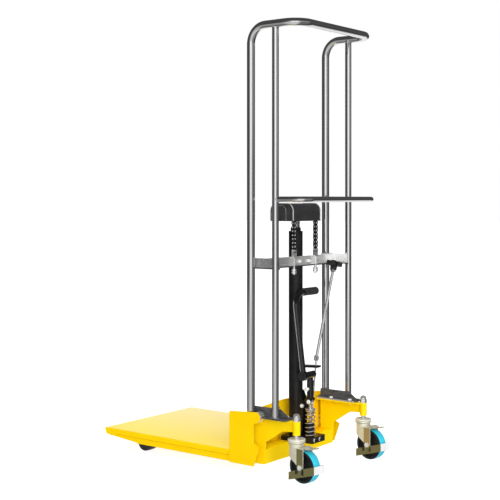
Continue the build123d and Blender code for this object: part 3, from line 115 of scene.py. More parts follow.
def new_piece(name, points, faces, finish, body=None, smooth_angle=35.0):
    """A mesh object from points in metres and faces, with seams merged and normals outward."""
    mesh = bpy.data.meshes.new(name)
    mesh.from_pydata(np.reshape(points, (-1, 3)).tolist(), [], faces)
    work = bmesh.new()
    work.from_mesh(mesh)
    bmesh.ops.remove_doubles(work, verts=work.verts, dist=1e-6)
    bmesh.ops.recalc_face_normals(work, faces=work.faces)
    work.to_mesh(mesh)
    work.free()
    mesh.materials.append(finish)
    mesh.shade_smooth()
    mesh.set_sharp_from_angle(angle=math.radians(smooth_angle))
    piece = bpy.data.objects.new(name, mesh)
    bpy.context.scene.collection.objects.link(piece)
    if body:
        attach(piece, body)
    return piece


def joined(parts):
    """Several (points, faces) pairs as one pair, with the corner numbers moved up in turn."""
    starts = np.cumsum([0] + [len(points) for points, _ in parts[:-1]]).tolist()
    moved = [[i + start for i in face] for (_, faces), start in zip(parts, starts) for face in faces]
    return np.concatenate([points for points, _ in parts]), moved


def repeated(points, faces, offsets):
    """One shape copied to every offset: points (1, n, 3) + offsets (m, 1, 3)."""
    many = (points[None] + np.asarray(offsets, float)[:, None]).reshape(-1, 3)
    starts = range(0, len(many), len(points))
    return many, [[i + start for i in face] for start in starts for face in faces]


print("a closed grid of 4 rows and 6 columns has", len(grid_faces(4, 6, True, True)), "faces")

# %% [markdown]
# ## Finishes
# Paint, plating and rubber all vary a little: a cloudy tone, a changing gloss and a fine relief.
# One builder makes that from two noises on Object coordinates. The tone runs between two
# shades of the colour, the gloss between two roughness values, and the relief goes through a
# Bump node. Pictures wrapped round the pieces could do this too, but noise needs no unwrapping.
# Values that are the same all over are set straight on the shader.

# %% Shader nodes
MIX_COLOURS, MIXED_COLOUR = slice(6, 8), 2


def feed(tree, socket, value):
    """Link an input to another node's output, or set it to a plain value."""
    if isinstance(value, bpy.types.NodeSocket):
        tree.links.new(value, socket)
    else:
        socket.default_value = value


def add_node(tree, kind, **values):
    """A shader node of that kind, with its named inputs fed."""
    node = tree.nodes.new("ShaderNode" + kind)
    for name, value in values.items():
        feed(tree, node.inputs[name.replace("_", " ")], value)
    return node


def add_math(tree, operation, *values):
    """The output of a Math node of that operation on sockets or numbers."""
    node = add_node(tree, "Math")
    node.operation = operation
    for socket, value in zip(node.inputs, values):
        feed(tree, socket, value)
    return node.outputs["Value"]


def mix_colours(tree, share, first, second):
    """A colour that runs from the first to the second as the share goes from 0 to 1."""
    node = add_node(tree, "Mix")
    node.data_type = "RGBA"
    feed(tree, node.inputs["Factor"], share)
    for socket, value in zip(node.inputs[MIX_COLOURS], (first, second)):
        feed(tree, socket, value)
    return node.outputs[MIXED_COLOUR]


print("node helpers ready: feed, add_node, add_math and mix_colours")

# %% The finish builder
CLOUD_LOW, CLOUD_HIGH = 0.3, 0.7


def make_finish(name, shades, gloss, cloud, grain, relief, metallic=0.0, **fixed):
    """A Principled finish: a cloud noise mixes the low and high shades and glosses, and relief is a bump.
    The scale of the clouds is one number, or three where they are stretched."""
    finish = bpy.data.materials.new(name)
    finish.use_nodes = True
    tree = finish.node_tree
    shader = tree.nodes["Principled BSDF"]
    shader.inputs["Metallic"].default_value = metallic
    for socket, value in fixed.items():
        shader.inputs[socket.replace("_", " ")].default_value = value
    place = add_node(tree, "TexCoord").outputs["Object"]
    scale = np.broadcast_to(cloud, 3).tolist()
    stretched = add_node(tree, "Mapping", Vector=place, Scale=scale).outputs["Vector"]
    clouds = add_node(tree, "TexNoise", Vector=stretched, Scale=1.0, Detail=6.0).outputs["Fac"]
    tone = add_node(tree, "ValToRGB", Fac=clouds)
    for stop, position, shade in zip(tone.color_ramp.elements, (CLOUD_LOW, CLOUD_HIGH), shades):
        stop.position = position
        stop.color = (*shade, 1.0)
    sheen = add_node(
        tree, "MapRange", Value=clouds,
        From_Min=CLOUD_LOW, From_Max=CLOUD_HIGH, To_Min=gloss[0], To_Max=gloss[1],
    )
    pores = add_node(tree, "TexNoise", Vector=place, Scale=grain, Detail=3.0).outputs["Fac"]
    bump = add_node(tree, "Bump", Strength=relief, Distance=0.001, Height=pores)
    feed(tree, shader.inputs["Base Color"], tone.outputs["Color"])
    feed(tree, shader.inputs["Roughness"], sheen.outputs["Result"])
    feed(tree, shader.inputs["Normal"], bump.outputs["Normal"])
    return finish


print("finish builder ready: one noise for tone and gloss, one for relief")

# %% [markdown]
# The sheet metal is signal yellow powder coat, which keeps a slight orange peel. The mast tubes
# are drawn and plated, so their tone is stretched along the tube. The casters are zinc plated
# with the straw colour that passivation leaves, and their tyres are blue elastic rubber.

# %% Paint and plated steel
YELLOW = ((0.97, 0.595, 0.000), (1.00, 0.64, 0.001))
# The second shade pair is the same yellow paint made lighter: painted light for frame pieces that lie in more
# shade.
BRIGHTENED_YELLOW = ((1.00, 0.655, 0.001), (1.00, 0.70, 0.002))
STRAW = ((0.70, 0.67, 0.52), (0.88, 0.86, 0.70))


def yellow_paint(name, shades=YELLOW):
    """The powder coat of the sheet metal, under a name of its own so that films can be added to it."""
    return make_finish(
        name, shades, gloss=(0.34, 0.46), cloud=9, grain=420.0, relief=0.06, Specular_IOR_Level=0.07,
    )


def fork_plating(name):
    """The straw-coloured zinc of one caster fork, under a name of its own for its films."""
    return make_finish(
        name, STRAW, gloss=(0.26, 0.42), metallic=0.35, cloud=26, grain=700.0, relief=0.08,
    )


yellow_coat, platform_coat, fork_coat = map(yellow_paint, ("yellow_coat", "platform_coat", "fork_coat"))
# The legs, rear beam and caster arms take the lighter copy, which paints in the light their shaded places
# lack.
brightened_frame_coat = yellow_paint("brightened_frame_coat", BRIGHTENED_YELLOW)
plated_tube = make_finish(
    "plated_tube", shades=((0.75, 0.75, 0.76), (0.80, 0.80, 0.81)), gloss=(0.06, 0.08),
    metallic=1.0, cloud=(24, 24, 1), grain=300.0, relief=0.0,
)
foot_steel = make_finish(
    "foot_steel", shades=((0.055, 0.055, 0.057), (0.135, 0.135, 0.14)), gloss=(0.26, 0.40),
    metallic=0.2, cloud=(90, 30, 90), grain=700.0, relief=0.10,
    Specular_IOR_Level=0.3,
)
bar_steel = make_finish(
    "bar_steel", shades=((0.42, 0.42, 0.42), (0.45, 0.45, 0.445)), gloss=(0.25, 0.28),
    metallic=0.6, cloud=(6, 60, 60), grain=600.0, relief=0.0,
)
zinc_bright = make_finish(
    "zinc_bright", shades=((0.74, 0.74, 0.73), (0.90, 0.90, 0.88)), gloss=(0.16, 0.28),
    metallic=0.8, cloud=40, grain=800.0, relief=0.04,
)
bolt_zinc = make_finish(
    "bolt_zinc", shades=((0.80, 0.80, 0.79), (0.94, 0.94, 0.92)), gloss=(0.20, 0.34),
    metallic=0.15, cloud=70, grain=800.0, relief=0.06,
)
rod_zinc = make_finish(
    "rod_zinc", shades=((0.80, 0.80, 0.79), (0.90, 0.90, 0.89)), gloss=(0.08, 0.14),
    metallic=0.75, cloud=(24, 24, 6), grain=800.0, relief=0.0,
)
zinc_straw = make_finish(
    "zinc_straw", shades=((0.78, 0.76, 0.65), (0.94, 0.92, 0.82)), gloss=(0.24, 0.40),
    metallic=0.30, cloud=26, grain=700.0, relief=0.08,
)
left_fork_zinc, right_fork_zinc = map(fork_plating, ("left_fork_zinc", "right_fork_zinc"))
pedal_zinc = make_finish(
    "pedal_zinc", shades=((0.58, 0.56, 0.43), (0.76, 0.74, 0.60)), gloss=(0.24, 0.38),
    metallic=0.35, cloud=26, grain=700.0, relief=0.08,
)
roller_gold = make_finish(
    "roller_gold", shades=((0.72, 0.50, 0.08), (0.86, 0.62, 0.14)), gloss=(0.26, 0.40),
    metallic=0.3, cloud=40, grain=800.0, relief=0.04,
)
guard_olive = make_finish(
    "guard_olive", shades=((0.84, 0.85, 0.84), (0.95, 0.96, 0.96)), gloss=(0.34, 0.52),
    metallic=0.1, cloud=26, grain=700.0, relief=0.06,
)
print("painted and plated finishes:", len(bpy.data.materials))

# %% Black coats, chains, rubber and brass
black_coat = make_finish(
    "black_coat", shades=((0.006, 0.006, 0.007), (0.013, 0.013, 0.014)), gloss=(0.24, 0.38),
    cloud=22, grain=500.0, relief=0.08,
    Specular_IOR_Level=0.3,
)
cover_coat = make_finish(
    "cover_coat", shades=((0.026, 0.026, 0.027), (0.040, 0.040, 0.041)), gloss=(0.30, 0.44),
    cloud=22, grain=500.0, relief=0.08,
)
# A mid grey, lighter than the cover's black: painted highlight on the rolled rims and arches.
rim_sheen = make_finish(
    "rim_sheen", shades=((0.12, 0.12, 0.12), (0.20, 0.20, 0.20)), gloss=(0.26, 0.40),
    metallic=0.2, cloud=60, grain=700.0, relief=0.08,
)
black_gloss = make_finish(
    "black_gloss", shades=((0.005, 0.005, 0.006), (0.010, 0.010, 0.011)), gloss=(0.10, 0.18),
    cloud=22, grain=500.0, relief=0.03,
    Coat_Weight=0.4, Coat_Roughness=0.08,
)
chain_oiled = make_finish(
    "chain_oiled", shades=((0.006, 0.006, 0.006), (0.020, 0.019, 0.018)), gloss=(0.30, 0.50),
    metallic=0.1, cloud=140, grain=900.0, relief=0.12,
    Specular_IOR_Level=0.2,
)
pin_ends = make_finish(
    "pin_ends", shades=((0.48, 0.48, 0.47), (0.68, 0.67, 0.66)), gloss=(0.20, 0.34),
    metallic=0.2, cloud=120, grain=900.0, relief=0.05,
)
grip_rubber = make_finish(
    "grip_rubber", shades=((0.016, 0.016, 0.016), (0.032, 0.032, 0.032)), gloss=(0.50, 0.70),
    cloud=50, grain=1400.0, relief=0.25,
)
knob_plastic = make_finish(
    "knob_plastic", shades=((0.008, 0.008, 0.009), (0.016, 0.016, 0.017)), gloss=(0.32, 0.46),
    cloud=40, grain=1100.0, relief=0.12,
)
tyre_blue = make_finish(
    "tyre_blue", shades=((0.025, 0.52, 0.70), (0.050, 0.64, 0.82)), gloss=(0.36, 0.52),
    cloud=30, grain=900.0, relief=0.10,
)
roller_black = make_finish(
    "roller_black", shades=((0.014, 0.014, 0.013), (0.034, 0.033, 0.030)), gloss=(0.36, 0.55),
    cloud=30, grain=800.0, relief=0.10,
)
pump_brass = make_finish(
    "pump_brass", shades=((0.62, 0.50, 0.24), (0.84, 0.74, 0.46)), gloss=(0.22, 0.38),
    metallic=0.9, cloud=80, grain=900.0, relief=0.06,
)
print("finishes in all:", len(bpy.data.materials))

# %% [markdown]
# Some pieces wear two tones. Passivated zinc keeps an olive or tan film on the flat sides of a
# pressing while bent faces stay pale, a wheel's blue tread ends at its black sides, and nuts under
# the arms were painted over. Light and shade are painted in the same way: a painted highlight makes
# the platform top paler, painted shade darkens the seam under its skirt and the toe guards' slots,
# and painted highlights run along one side of the lever, over the right mast foot, along the crossbar
# and on the cover's rims. Such a film is laid on by rule: each condition compares the normal or the
# place on the object with one direction, and the film shows where all hold. A painted mask would do
# it too, but a rule leaves the CAD meshes as they are.

# %% A film where conditions hold
SHARP = 0.001


def facing(way, low, high):
    """A condition on the normal: its share along a way, from none at low to full at high."""
    return ("Normal", way, low, high)


def beyond(way, place, soft=SHARP):
    """A condition on the place: past a distance in metres along a way, with a soft edge."""
    return ("Object", way, place, place + soft)


def below(height, soft=SHARP):
    """A condition on the place: under a height in metres, with a soft edge above it."""
    return beyond(DOWN, -height - soft, soft)


def add_film(finish, colour, *conditions):
    """Mix a colour into the base tone by the product of the conditions, each a ramp of a dot product."""
    tree = finish.node_tree
    base = tree.nodes["Principled BSDF"].inputs["Base Color"]
    coords = tree.nodes["Texture Coordinate"]
    share = 1.0
    for source, way, low, high in conditions:
        along = add_node(tree, "VectorMath")
        along.operation = "DOT_PRODUCT"
        feed(tree, along.inputs[0], coords.outputs[source])
        feed(tree, along.inputs[1], way)
        ramp = add_node(tree, "MapRange", Value=along.outputs["Value"], From_Min=low, From_Max=high)
        share = add_math(tree, "MULTIPLY", share, ramp.outputs["Result"])
    feed(tree, base, mix_colours(tree, share, base.links[0].from_socket, (*colour, 1.0)))


LEFT, RIGHT, UP, DOWN = (-1, 0, 0), (1, 0, 0), (0, 0, 1), (0, 0, -1)
FRONTWARD, REARWARD = (0, 1, 0), (0, -1, 0)
CASTER_TURN = math.radians(-7.0)
FORK_LEFT = (-math.cos(CASTER_TURN), -math.sin(CASTER_TURN), 0.0)
FORK_REAR = (math.sin(CASTER_TURN), -math.cos(CASTER_TURN), 0.0)
FORK_FRONT = (-math.sin(CASTER_TURN), math.cos(CASTER_TURN), 0.0)
FLAT_SIDE, GUARD_SIDE = facing(LEFT, 0.80, 0.97), facing(LEFT, 0.30, 0.70)
DARK, STEEL = (0.012, 0.012, 0.013), (0.88, 0.88, 0.87)
print("fork side points to", [round(v, 4) for v in FORK_LEFT])

# %% Films on the sheet metal and the steel
PAINTED_TOP_LIGHT, PAINTED_TOP_SHEEN, PAINTED_SEAM_SHADE, PAINT = (1.0, 0.78, 0.14), (1.0, 0.84, 0.42), (0.30, 0.15, 0.0), (0.96, 0.62, 0.0)
PAINTED_FOOT_SHEEN, PAINTED_LEVER_HIGHLIGHT, PAINTED_RIM_HIGHLIGHT = (0.42, 0.42, 0.41), (0.36, 0.36, 0.36), (0.50, 0.50, 0.50)
PAINTED_BAR_HIGHLIGHT, BAR_SHADE = (0.95, 0.95, 0.94), (0.10, 0.10, 0.10)
TRAY_TOP, SHEEN_WAY, LEVER_SIDE = facing(UP, 0.90, 0.99), (1.0, 0.2, 0.0), (-0.954, 0.297, 0.0)
SKIRT_SEAM, ARM_NUT_LOW, ARM_NUT_HIGH, BLOCK_TOP = 0.0635, 0.190, 0.2228, 0.150
PLUNGER_WASHER, FOOT_TOP_EDGE, LEVER_STEM_LOW, BAR_LOW_EDGE, LUGS_TOP = 0.2250, 0.2345, 0.385, 0.8155, 0.70
RIM_REAR = 0.300
# Painted light: the tray's top is made paler, and paler still towards its right, in place of the light and
# sheen on it.
add_film(platform_coat, PAINTED_TOP_LIGHT, TRAY_TOP)
add_film(platform_coat, PAINTED_TOP_SHEEN, TRAY_TOP, beyond(SHEEN_WAY, -0.25, soft=0.65))
# Painted shade: the legs' outer sides are darkened above SKIRT_SEAM, in the seam under the platform's skirt.
add_film(fork_coat, PAINTED_SEAM_SHADE, FLAT_SIDE, beyond(UP, SKIRT_SEAM, soft=0.0015))
add_film(bolt_zinc, PAINT, beyond(UP, ARM_NUT_LOW), below(ARM_NUT_HIGH))
add_film(bolt_zinc, DARK, below(BLOCK_TOP), facing(REARWARD, 0.80, 0.95))
add_film(pump_brass, STEEL, beyond(UP, PLUNGER_WASHER, soft=0.0008))
# Painted sheen: the right mast foot's left-facing faces are lighter below their top edge.
add_film(
    foot_steel, PAINTED_FOOT_SHEEN,
    below(FOOT_TOP_EDGE, soft=0.0007), facing(LEFT, 0.60, 0.90), beyond(RIGHT, 0.0, soft=0.1),
)
# Painted highlight: a pale line down one side of the lever's stem, above its socket.
add_film(
    black_gloss, PAINTED_LEVER_HIGHLIGHT,
    facing(LEVER_SIDE, 0.93, 0.98), facing(RIGHT, -0.997, -0.985), beyond(UP, LEVER_STEM_LOW, soft=0.01),
)
# Painted highlight: the rear bar of each outer rim is lighter still.
add_film(rim_sheen, PAINTED_RIM_HIGHLIGHT, beyond(REARWARD, RIM_REAR, soft=0.012))
# Painted highlight: the crossbar brightens from left to right; BAR_SHADE is painted shade along its lower
# edge.
add_film(bar_steel, PAINTED_BAR_HIGHLIGHT, beyond(RIGHT, -0.22, soft=0.42))
add_film(bar_steel, BAR_SHADE, below(BAR_LOW_EDGE, soft=0.0015), beyond(UP, LUGS_TOP, soft=0.01))
print("films on sheet metal and steel are laid")

# %% Films on the casters
OLIVE, TAN, JOINT_SHADE = (0.22, 0.20, 0.08), (0.46, 0.33, 0.13), (0.10, 0.09, 0.06)
GUARD_OLIVE, GUARD_SHADE = (0.17, 0.155, 0.055), (0.03, 0.028, 0.012)
AXLE_HIGH, RACE_LOW, RACE_HIGH, AXLE_LOW = 0.09, 0.1462, 0.1486, 0.0525
GUARD_END, SLOT_LOW, REAR_SLOT, FRONT_SLOT = -0.546, 0.034, (0.011, 0.020), (-0.024, -0.014)


def side_films(fork_zinc, side_film, cheek_end, outer_face):
    """The passivated side of a fork behind its bend, and the bright axle end outside its face."""
    add_film(fork_zinc, side_film, FLAT_SIDE, beyond(FORK_REAR, cheek_end, soft=0.004))
    add_film(fork_zinc, STEEL, beyond(FORK_LEFT, outer_face, soft=0.0004), below(AXLE_HIGH, soft=0.01))


side_films(left_fork_zinc, OLIVE, cheek_end=0.4875, outer_face=0.2180)
for fork_zinc in (left_fork_zinc, right_fork_zinc):
    add_film(fork_zinc, DARK, FLAT_SIDE, below(AXLE_LOW))
    add_film(fork_zinc, JOINT_SHADE, beyond(UP, RACE_LOW), below(RACE_HIGH))
side_films(right_fork_zinc, TAN, cheek_end=0.4280, outer_face=-0.2664)
for wall in (FRONTWARD, REARWARD):
    add_film(guard_olive, GUARD_SHADE, facing(wall, 0.50, 0.80), beyond(FRONTWARD, GUARD_END, soft=0.002))
add_film(guard_olive, GUARD_OLIVE, GUARD_SIDE)
# Painted shadow: dark patches over the guards' slots on either side of the axle, wider than the slots
# themselves.
for side_way, axle_place in ((LEFT, 0.5075), (RIGHT, 0.4480)):
    for slot_start, slot_end in (FRONT_SLOT, REAR_SLOT):
        add_film(
            guard_olive, DARK, GUARD_SIDE, beyond(UP, SLOT_LOW, soft=0.002), beyond(side_way, 0.0, soft=0.1),
            beyond(FORK_REAR, axle_place + slot_start), beyond(FORK_FRONT, -axle_place - slot_end),
        )
for side_way in (LEFT, RIGHT):
    add_film(tyre_blue, DARK, facing(side_way, 0.25, 0.40))
print("films on the casters are laid")

# %% [markdown]
# Every CAD node takes one of these finishes through its own material slot.

# %% Finishes on the CAD nodes
node_finish = {
    yellow_coat: "left_cheek right_cheek carriage_plate roller_pins",
    brightened_frame_coat: "left_leg right_leg rear_crossbeam left_caster_arm right_caster_arm",
    platform_coat: "platform_tray",
    fork_coat: "left_fork right_fork",
    plated_tube: "mast_loop rear_posts hand_loop ram_rod",
    foot_steel: "mast_feet",
    bar_steel: "chain_crossbar chain_lugs",
    rod_zinc: "knob_rod valve_rod",
    zinc_bright: "caster_stems chain_anchors pump_spring lever_roller upper_guide_rollers",
    roller_gold: "lower_guide_rollers",
    bolt_zinc: "frame_bolts cylinder_clamp",
    pump_brass: "pump_plunger",
    black_coat: "pump_block cylinder_tube cylinder_gland cylinder_brackets pump_barrel",
    cover_coat: "chain_cover",
    black_gloss: "lever_socket lever_handle",
    chain_oiled: "rear_chains front_chains chain_wraps crosshead rear_chain_wheels front_chain_wheels",
    grip_rubber: "lever_grip",
    knob_plastic: "release_knob left_caster_hub right_caster_hub",
    zinc_straw: "caster_races",
    pedal_zinc: "left_brake_pedal right_brake_pedal",
    left_fork_zinc: "left_caster_fork",
    right_fork_zinc: "right_caster_fork",
    guard_olive: "left_toe_guard right_toe_guard",
    tyre_blue: "left_caster_tyre right_caster_tyre",
    roller_black: "left_load_roller right_load_roller",
}
for finish, names in node_finish.items():
    for name in names.split():
        nodes[name].data.materials.clear()
        nodes[name].data.materials.append(finish)
dressed = sum(len(names.split()) for names in node_finish.values())
print("nodes with a finish:", dressed, "of", len(nodes))

# %% [markdown]
# ## Bent tubes
# The mast is one tube: up the left front post, back along the top handle, across, and down the
# right post. A circle is carried along straight runs joined by arcs. To keep the circle from
# twisting, its two axes stay as they are on a straight run and turn with the tube on an arc. A curve
# with a bevel would look much the same; here the rings lie just where each bend starts and ends.

# %% A tube along runs and arcs


def carried_frame(corners, bend, steps=14):
    """Centres and two cross axes along a route: each corner gives way to an arc of radius bend, and there the
    axes turn about the bend's own axis, v cos(a) + (k x v) sin(a) + k (k . v)(1 - cos(a))."""
    corners = np.asarray(corners, float)
    runs = unit(np.diff(corners, axis=0))
    axes = np.stack(cross_axes(runs[0]))
    centres, frames = [corners[:1]], [axes[None]]
    for corner, before, after in zip(corners[1:-1], runs[:-1], runs[1:]):
        turn = math.acos(float(np.clip(before @ after, -1, 1)))
        inward = unit(after - before * (before @ after))
        pivot = np.cross(before, inward)
        angle = np.linspace(0, turn, steps)[:, None]
        start = corner - before * bend * math.tan(turn / 2)
        centres.append(start + bend * (np.sin(angle) * before + (1 - np.cos(angle)) * inward))
        a = angle[:, None]
        turned = axes * np.cos(a) + np.cross(pivot, axes) * np.sin(a)
        turned = turned + (axes @ pivot)[None, :, None] * pivot * (1 - np.cos(a))
        frames.append(turned)
        axes = turned[-1]
    centres.append(corners[-1:])
    frames.append(axes[None])
    return np.concatenate(centres), np.concatenate(frames)


def tube_surface(centres, frames, radius, sides=32):
    """Ring points: centre + radius (cos(v) first axis + sin(v) second axis), with flat ends."""
    v = even_angles(sides)[None, :]
    points = centres[:, None] + radius * spokes(v, frames[:, None, 0], frames[:, None, 1])
    faces = grid_faces(len(centres), sides, close_columns=True)
    last = (len(centres) - 1) * sides
    return points.reshape(-1, 3), faces + [list(range(sides)), list(range(last, last + sides))]


print("a straight run needs", len(carried_frame([(0, 0, 0), (0, 0, 1)], 1)[0]), "rings")

# %% Mast loop, rear posts and hand loop
POST_X, POST_RADIUS, REAR_X, REAR_RADIUS = 266.0, 16.0, 263.5, 13.5
MAST_DEPTH, FOOT_TOP, BEAM_TOP = 118.0, 235.0, 98.0
HANDLE_Z, HANDLE_REACH, HANDLE_BEND = 1770.0, 233.0, 70.0
LOOP_Z, LOOP_REACH, LOOP_BEND, LOOP_RADIUS = 1086.0, 255.0, 55.0, 11.0
TUCK = 6.0
mast_route = [
    (-POST_X, 0, BEAM_TOP), (-POST_X, 0, HANDLE_Z), (-POST_X, -HANDLE_REACH, HANDLE_Z),
    (POST_X, -HANDLE_REACH, HANDLE_Z), (POST_X, 0, HANDLE_Z), (POST_X, 0, BEAM_TOP),
]
points, faces = tube_surface(*carried_frame(mast_route, HANDLE_BEND, 20), POST_RADIUS, 40)
mast = new_piece("mast_tube", at(points), faces, plated_tube, "base")
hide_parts("mast_loop")
post_routes = [[(x, -MAST_DEPTH, FOOT_TOP), (x, -MAST_DEPTH, HANDLE_Z - TUCK)] for x in (-REAR_X, REAR_X)]
points, faces = joined([tube_surface(*carried_frame(route, 1), REAR_RADIUS, 40) for route in post_routes])
rear = new_piece("rear_post_tubes", at(points), faces, plated_tube, "base")
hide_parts("rear_posts")
loop_route = [
    (-REAR_X, -MAST_DEPTH - TUCK, LOOP_Z), (-REAR_X, -LOOP_REACH, LOOP_Z),
    (REAR_X, -LOOP_REACH, LOOP_Z), (REAR_X, -MAST_DEPTH - TUCK, LOOP_Z),
]
points, faces = tube_surface(*carried_frame(loop_route, LOOP_BEND, 18), LOOP_RADIUS, 32)
hand_loop = new_piece("hand_loop_tube", at(points), faces, plated_tube, "base")
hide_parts("hand_loop")
print("tube faces:", sum(len(piece.data.polygons) for piece in (mast, rear, hand_loop)))

# %% [markdown]
# ## Weld beads
# The tubes are welded to each other, to the rear beam and to the mast feet. A bead is a thin ring
# that follows the seam and swells a little at each stitch: a torus whose tube radius has a small
# ripple. A bump in the finish would be less work, but it would not show in the tube's outline.

# %% Rings of weld
FOOT_BEAD, BEAM_BEAD, THIN_BEAD = 2.0, 2.2, 1.6
FOOT_LIFT, BEAM_LIFT, LOOP_SINK, HANDLE_SINK = 0.8, 1.0, 1.5, 3.0


def bead_surface(centre, normal, ring, thick, stitches=26, ripple=0.22, around=96, across=10):
    """A torus about normal: a ring of that radius, and a tube of thick (1 + ripple |sin(stitches u / 2)|)."""
    normal = unit(normal)
    first, second = cross_axes(normal)
    u, v = even_angles(around)[:, None], even_angles(across)[None, :]
    swell = thick * (1 + ripple * np.abs(np.sin(stitches * u / 2)))
    out = (ring + swell * np.cos(v))[..., None]
    up = (swell * np.sin(v))[..., None]
    points = np.asarray(centre, float) + out * spokes(u, first, second) + up * normal
    return points.reshape(-1, 3), grid_faces(around, across, True, True)


weld_places = (
    (REAR_X, -MAST_DEPTH, FOOT_TOP + FOOT_LIFT, UP, REAR_RADIUS, FOOT_BEAD),
    (POST_X, 0, BEAM_TOP + BEAM_LIFT, UP, POST_RADIUS, BEAM_BEAD),
    (REAR_X, LOOP_SINK - MAST_DEPTH - REAR_RADIUS, LOOP_Z, FRONTWARD, LOOP_RADIUS, THIN_BEAD),
    (REAR_X, -MAST_DEPTH, HANDLE_Z - POST_RADIUS + HANDLE_SINK, UP, REAR_RADIUS, THIN_BEAD),
)
beads = [
    bead_surface((sign * x, y, z), normal, ring, thick)
    for x, y, z, normal, ring, thick in weld_places
    for sign in (-1, 1)
]
points, faces = joined(beads)
weld_rings = new_piece("weld_rings", at(points), faces, zinc_bright, "base", 60)
print("weld rings:", len(beads))

# %% [markdown]
# ## Return spring
# The bright spring over the pump barrel is a wire wound into a helix. Its centre line climbs
# evenly, and its first and last turns lie flat on the block and under the washer. A Screw modifier
# would wind the wire too, but without flat ends.

# %% Helix of wire
SPRING_Y, SPRING_LOW, SPRING_HIGH = -102.0, 117.3, 225.7
WIRE, COIL_RADIUS, TURNS = 5.0, 19.5, 7.0
STEPS_PER_TURN = 40
t = np.linspace(0, TURNS, int(TURNS * STEPS_PER_TURN) + 1)
ease = np.clip(t, 0, 1) ** 2 / 2 + np.clip(t - 1, 0, TURNS - 2) + np.clip(t - TURNS + 1, 0, 1)
ease = ease - np.clip(t - TURNS + 1, 0, 1) ** 2 / 2
climb = ease / ease[-1]
angle = 2 * np.pi * t
height = SPRING_LOW + WIRE / 2 + climb * (SPRING_HIGH - SPRING_LOW - WIRE)
radial = np.stack([np.cos(angle), np.sin(angle), 0 * angle], -1)
line = np.array((0.0, SPRING_Y, 0.0)) + COIL_RADIUS * radial
line[:, 2] = height
along = unit(np.gradient(line, axis=0))
radial = unit(radial - along * np.sum(radial * along, -1, keepdims=True))
points, faces = tube_surface(line, np.stack([radial, np.cross(along, radial)], 1), WIRE / 2, 16)
spring = new_piece("return_spring", at(points), faces, zinc_bright)
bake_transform(spring)
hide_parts("pump_spring")
print("spring turns:", TURNS, "free height", round(SPRING_HIGH - SPRING_LOW, 1), "mm")

# %% [markdown]
# ## Roller chains
# A chain repeats one pitch: two side plates, a pin and a roller. Plates of neighbouring pitches lie
# in turn outside and inside each other. One plate is a rounded outline swept through its thickness,
# and numpy copies it down the strand, as an Array modifier would. The rear links that show at rest
# go up with the ram. The links that follow them are laid out at their raised places, about a pitch
# apart, and then drawn into the anchors by the inverse of a smooth rise up the clevis. The front
# runs, which shorten on the machine as the carriage rises, are drawn at rest from the wheels down
# to the carriage.

# %% Links
PITCH_MM, CHAIN_X, WHEEL_Z, CHAIN_REAR, CHAIN_FRONT = 15.875, 77.0, 1028.0, -75.0, 17.0
PLATE_HALF, WAIST, PLATE_SHEET, INNER_X, OUTER_X = 7.0, 5.4, 2.4, 4.3, 6.8
PIN_RADIUS, PIN_HALF, CHAIN_ROLLER = 3.0, 10.0, 5.0


def plate_outline(count=20):
    """Outline of a link plate in Y and Z: round ends a pitch apart, drawn in at the waist by a cosine."""
    a = even_angles(count)
    z = np.sin(a) * (PITCH_MM / 2 + PLATE_HALF)
    past_pin = np.clip(np.abs(z) - PITCH_MM / 2, 0, PLATE_HALF)
    width = np.sqrt(np.maximum(PLATE_HALF**2 - past_pin**2, 0))
    waist = np.cos(np.clip(z / (PITCH_MM / 2), -1, 1) * np.pi / 2) ** 2
    return np.stack([np.sign(np.cos(a)) * (width - (PLATE_HALF - WAIST) * waist), z], -1)


def prism(outline, low, high):
    """An outline in Y and Z carried along X from low to high, with flat ends."""
    n = len(outline)
    points = np.concatenate([np.insert(outline, 0, low, 1), np.insert(outline, 0, high, 1)])
    return points, grid_faces(2, n, close_columns=True) + [list(range(n)), list(range(n, 2 * n))]


def disc_outline(radius, count):
    """Points of a circle in Y and Z."""
    return radius * spokes(even_angles(count), np.array((1, 0)), np.array((0, 1)))


def plate_pair(inner_face):
    """The two plates of a link, mirror images about the strand's middle."""
    outline = plate_outline()
    return joined([
        prism(outline, inner_face, inner_face + PLATE_SHEET),
        prism(outline, -inner_face - PLATE_SHEET, -inner_face),
    ])


def strand(y, link_heights, first_outer):
    """Plates of both strands at y; links alternate between outer and inner plates."""
    plate_faces = (OUTER_X, INNER_X) if first_outer else (INNER_X, OUTER_X)
    parts = []
    for x in (-CHAIN_X, CHAIN_X):
        for shift, face in enumerate(plate_faces):
            z = link_heights[shift::2]
            parts.append(repeated(*plate_pair(face), np.stack([0 * z + x, 0 * z + y, z], -1)))
    return joined(parts)


def pins(y, pin_heights):
    """Rollers and pins of both strands at y; the pins stand a little proud of the outer plates."""
    one = joined([
        prism(disc_outline(PIN_RADIUS, 12), -PIN_HALF, PIN_HALF),
        prism(disc_outline(CHAIN_ROLLER, 14), -INNER_X, INNER_X),
    ])
    z = pin_heights
    return joined([repeated(*one, np.stack([0 * z + x, 0 * z + y, z], -1)) for x in (-CHAIN_X, CHAIN_X)])


print("one link has", len(plate_pair(OUTER_X)[0]), "corners in its two plates")

# %% Rear runs, from the anchors up to the wheels
REAR_LINKS = 10
rear_pins = WHEEL_Z - PITCH_MM / 2 - PITCH_MM * np.arange(REAR_LINKS)
rear_links = rear_pins[:-1] - PITCH_MM / 2
points, faces = strand(CHAIN_REAR, rear_links, False)
rear_run = new_piece("rear_chain_links", at(points), faces, chain_oiled, "ram", smooth_angle=40)
points, faces = pins(CHAIN_REAR, rear_pins)
rear_run_pins = new_piece("rear_chain_pins", at(points), faces, pin_ends, "ram", smooth_angle=40)
print("rear links in sight at rest:", 2 * len(rear_links))

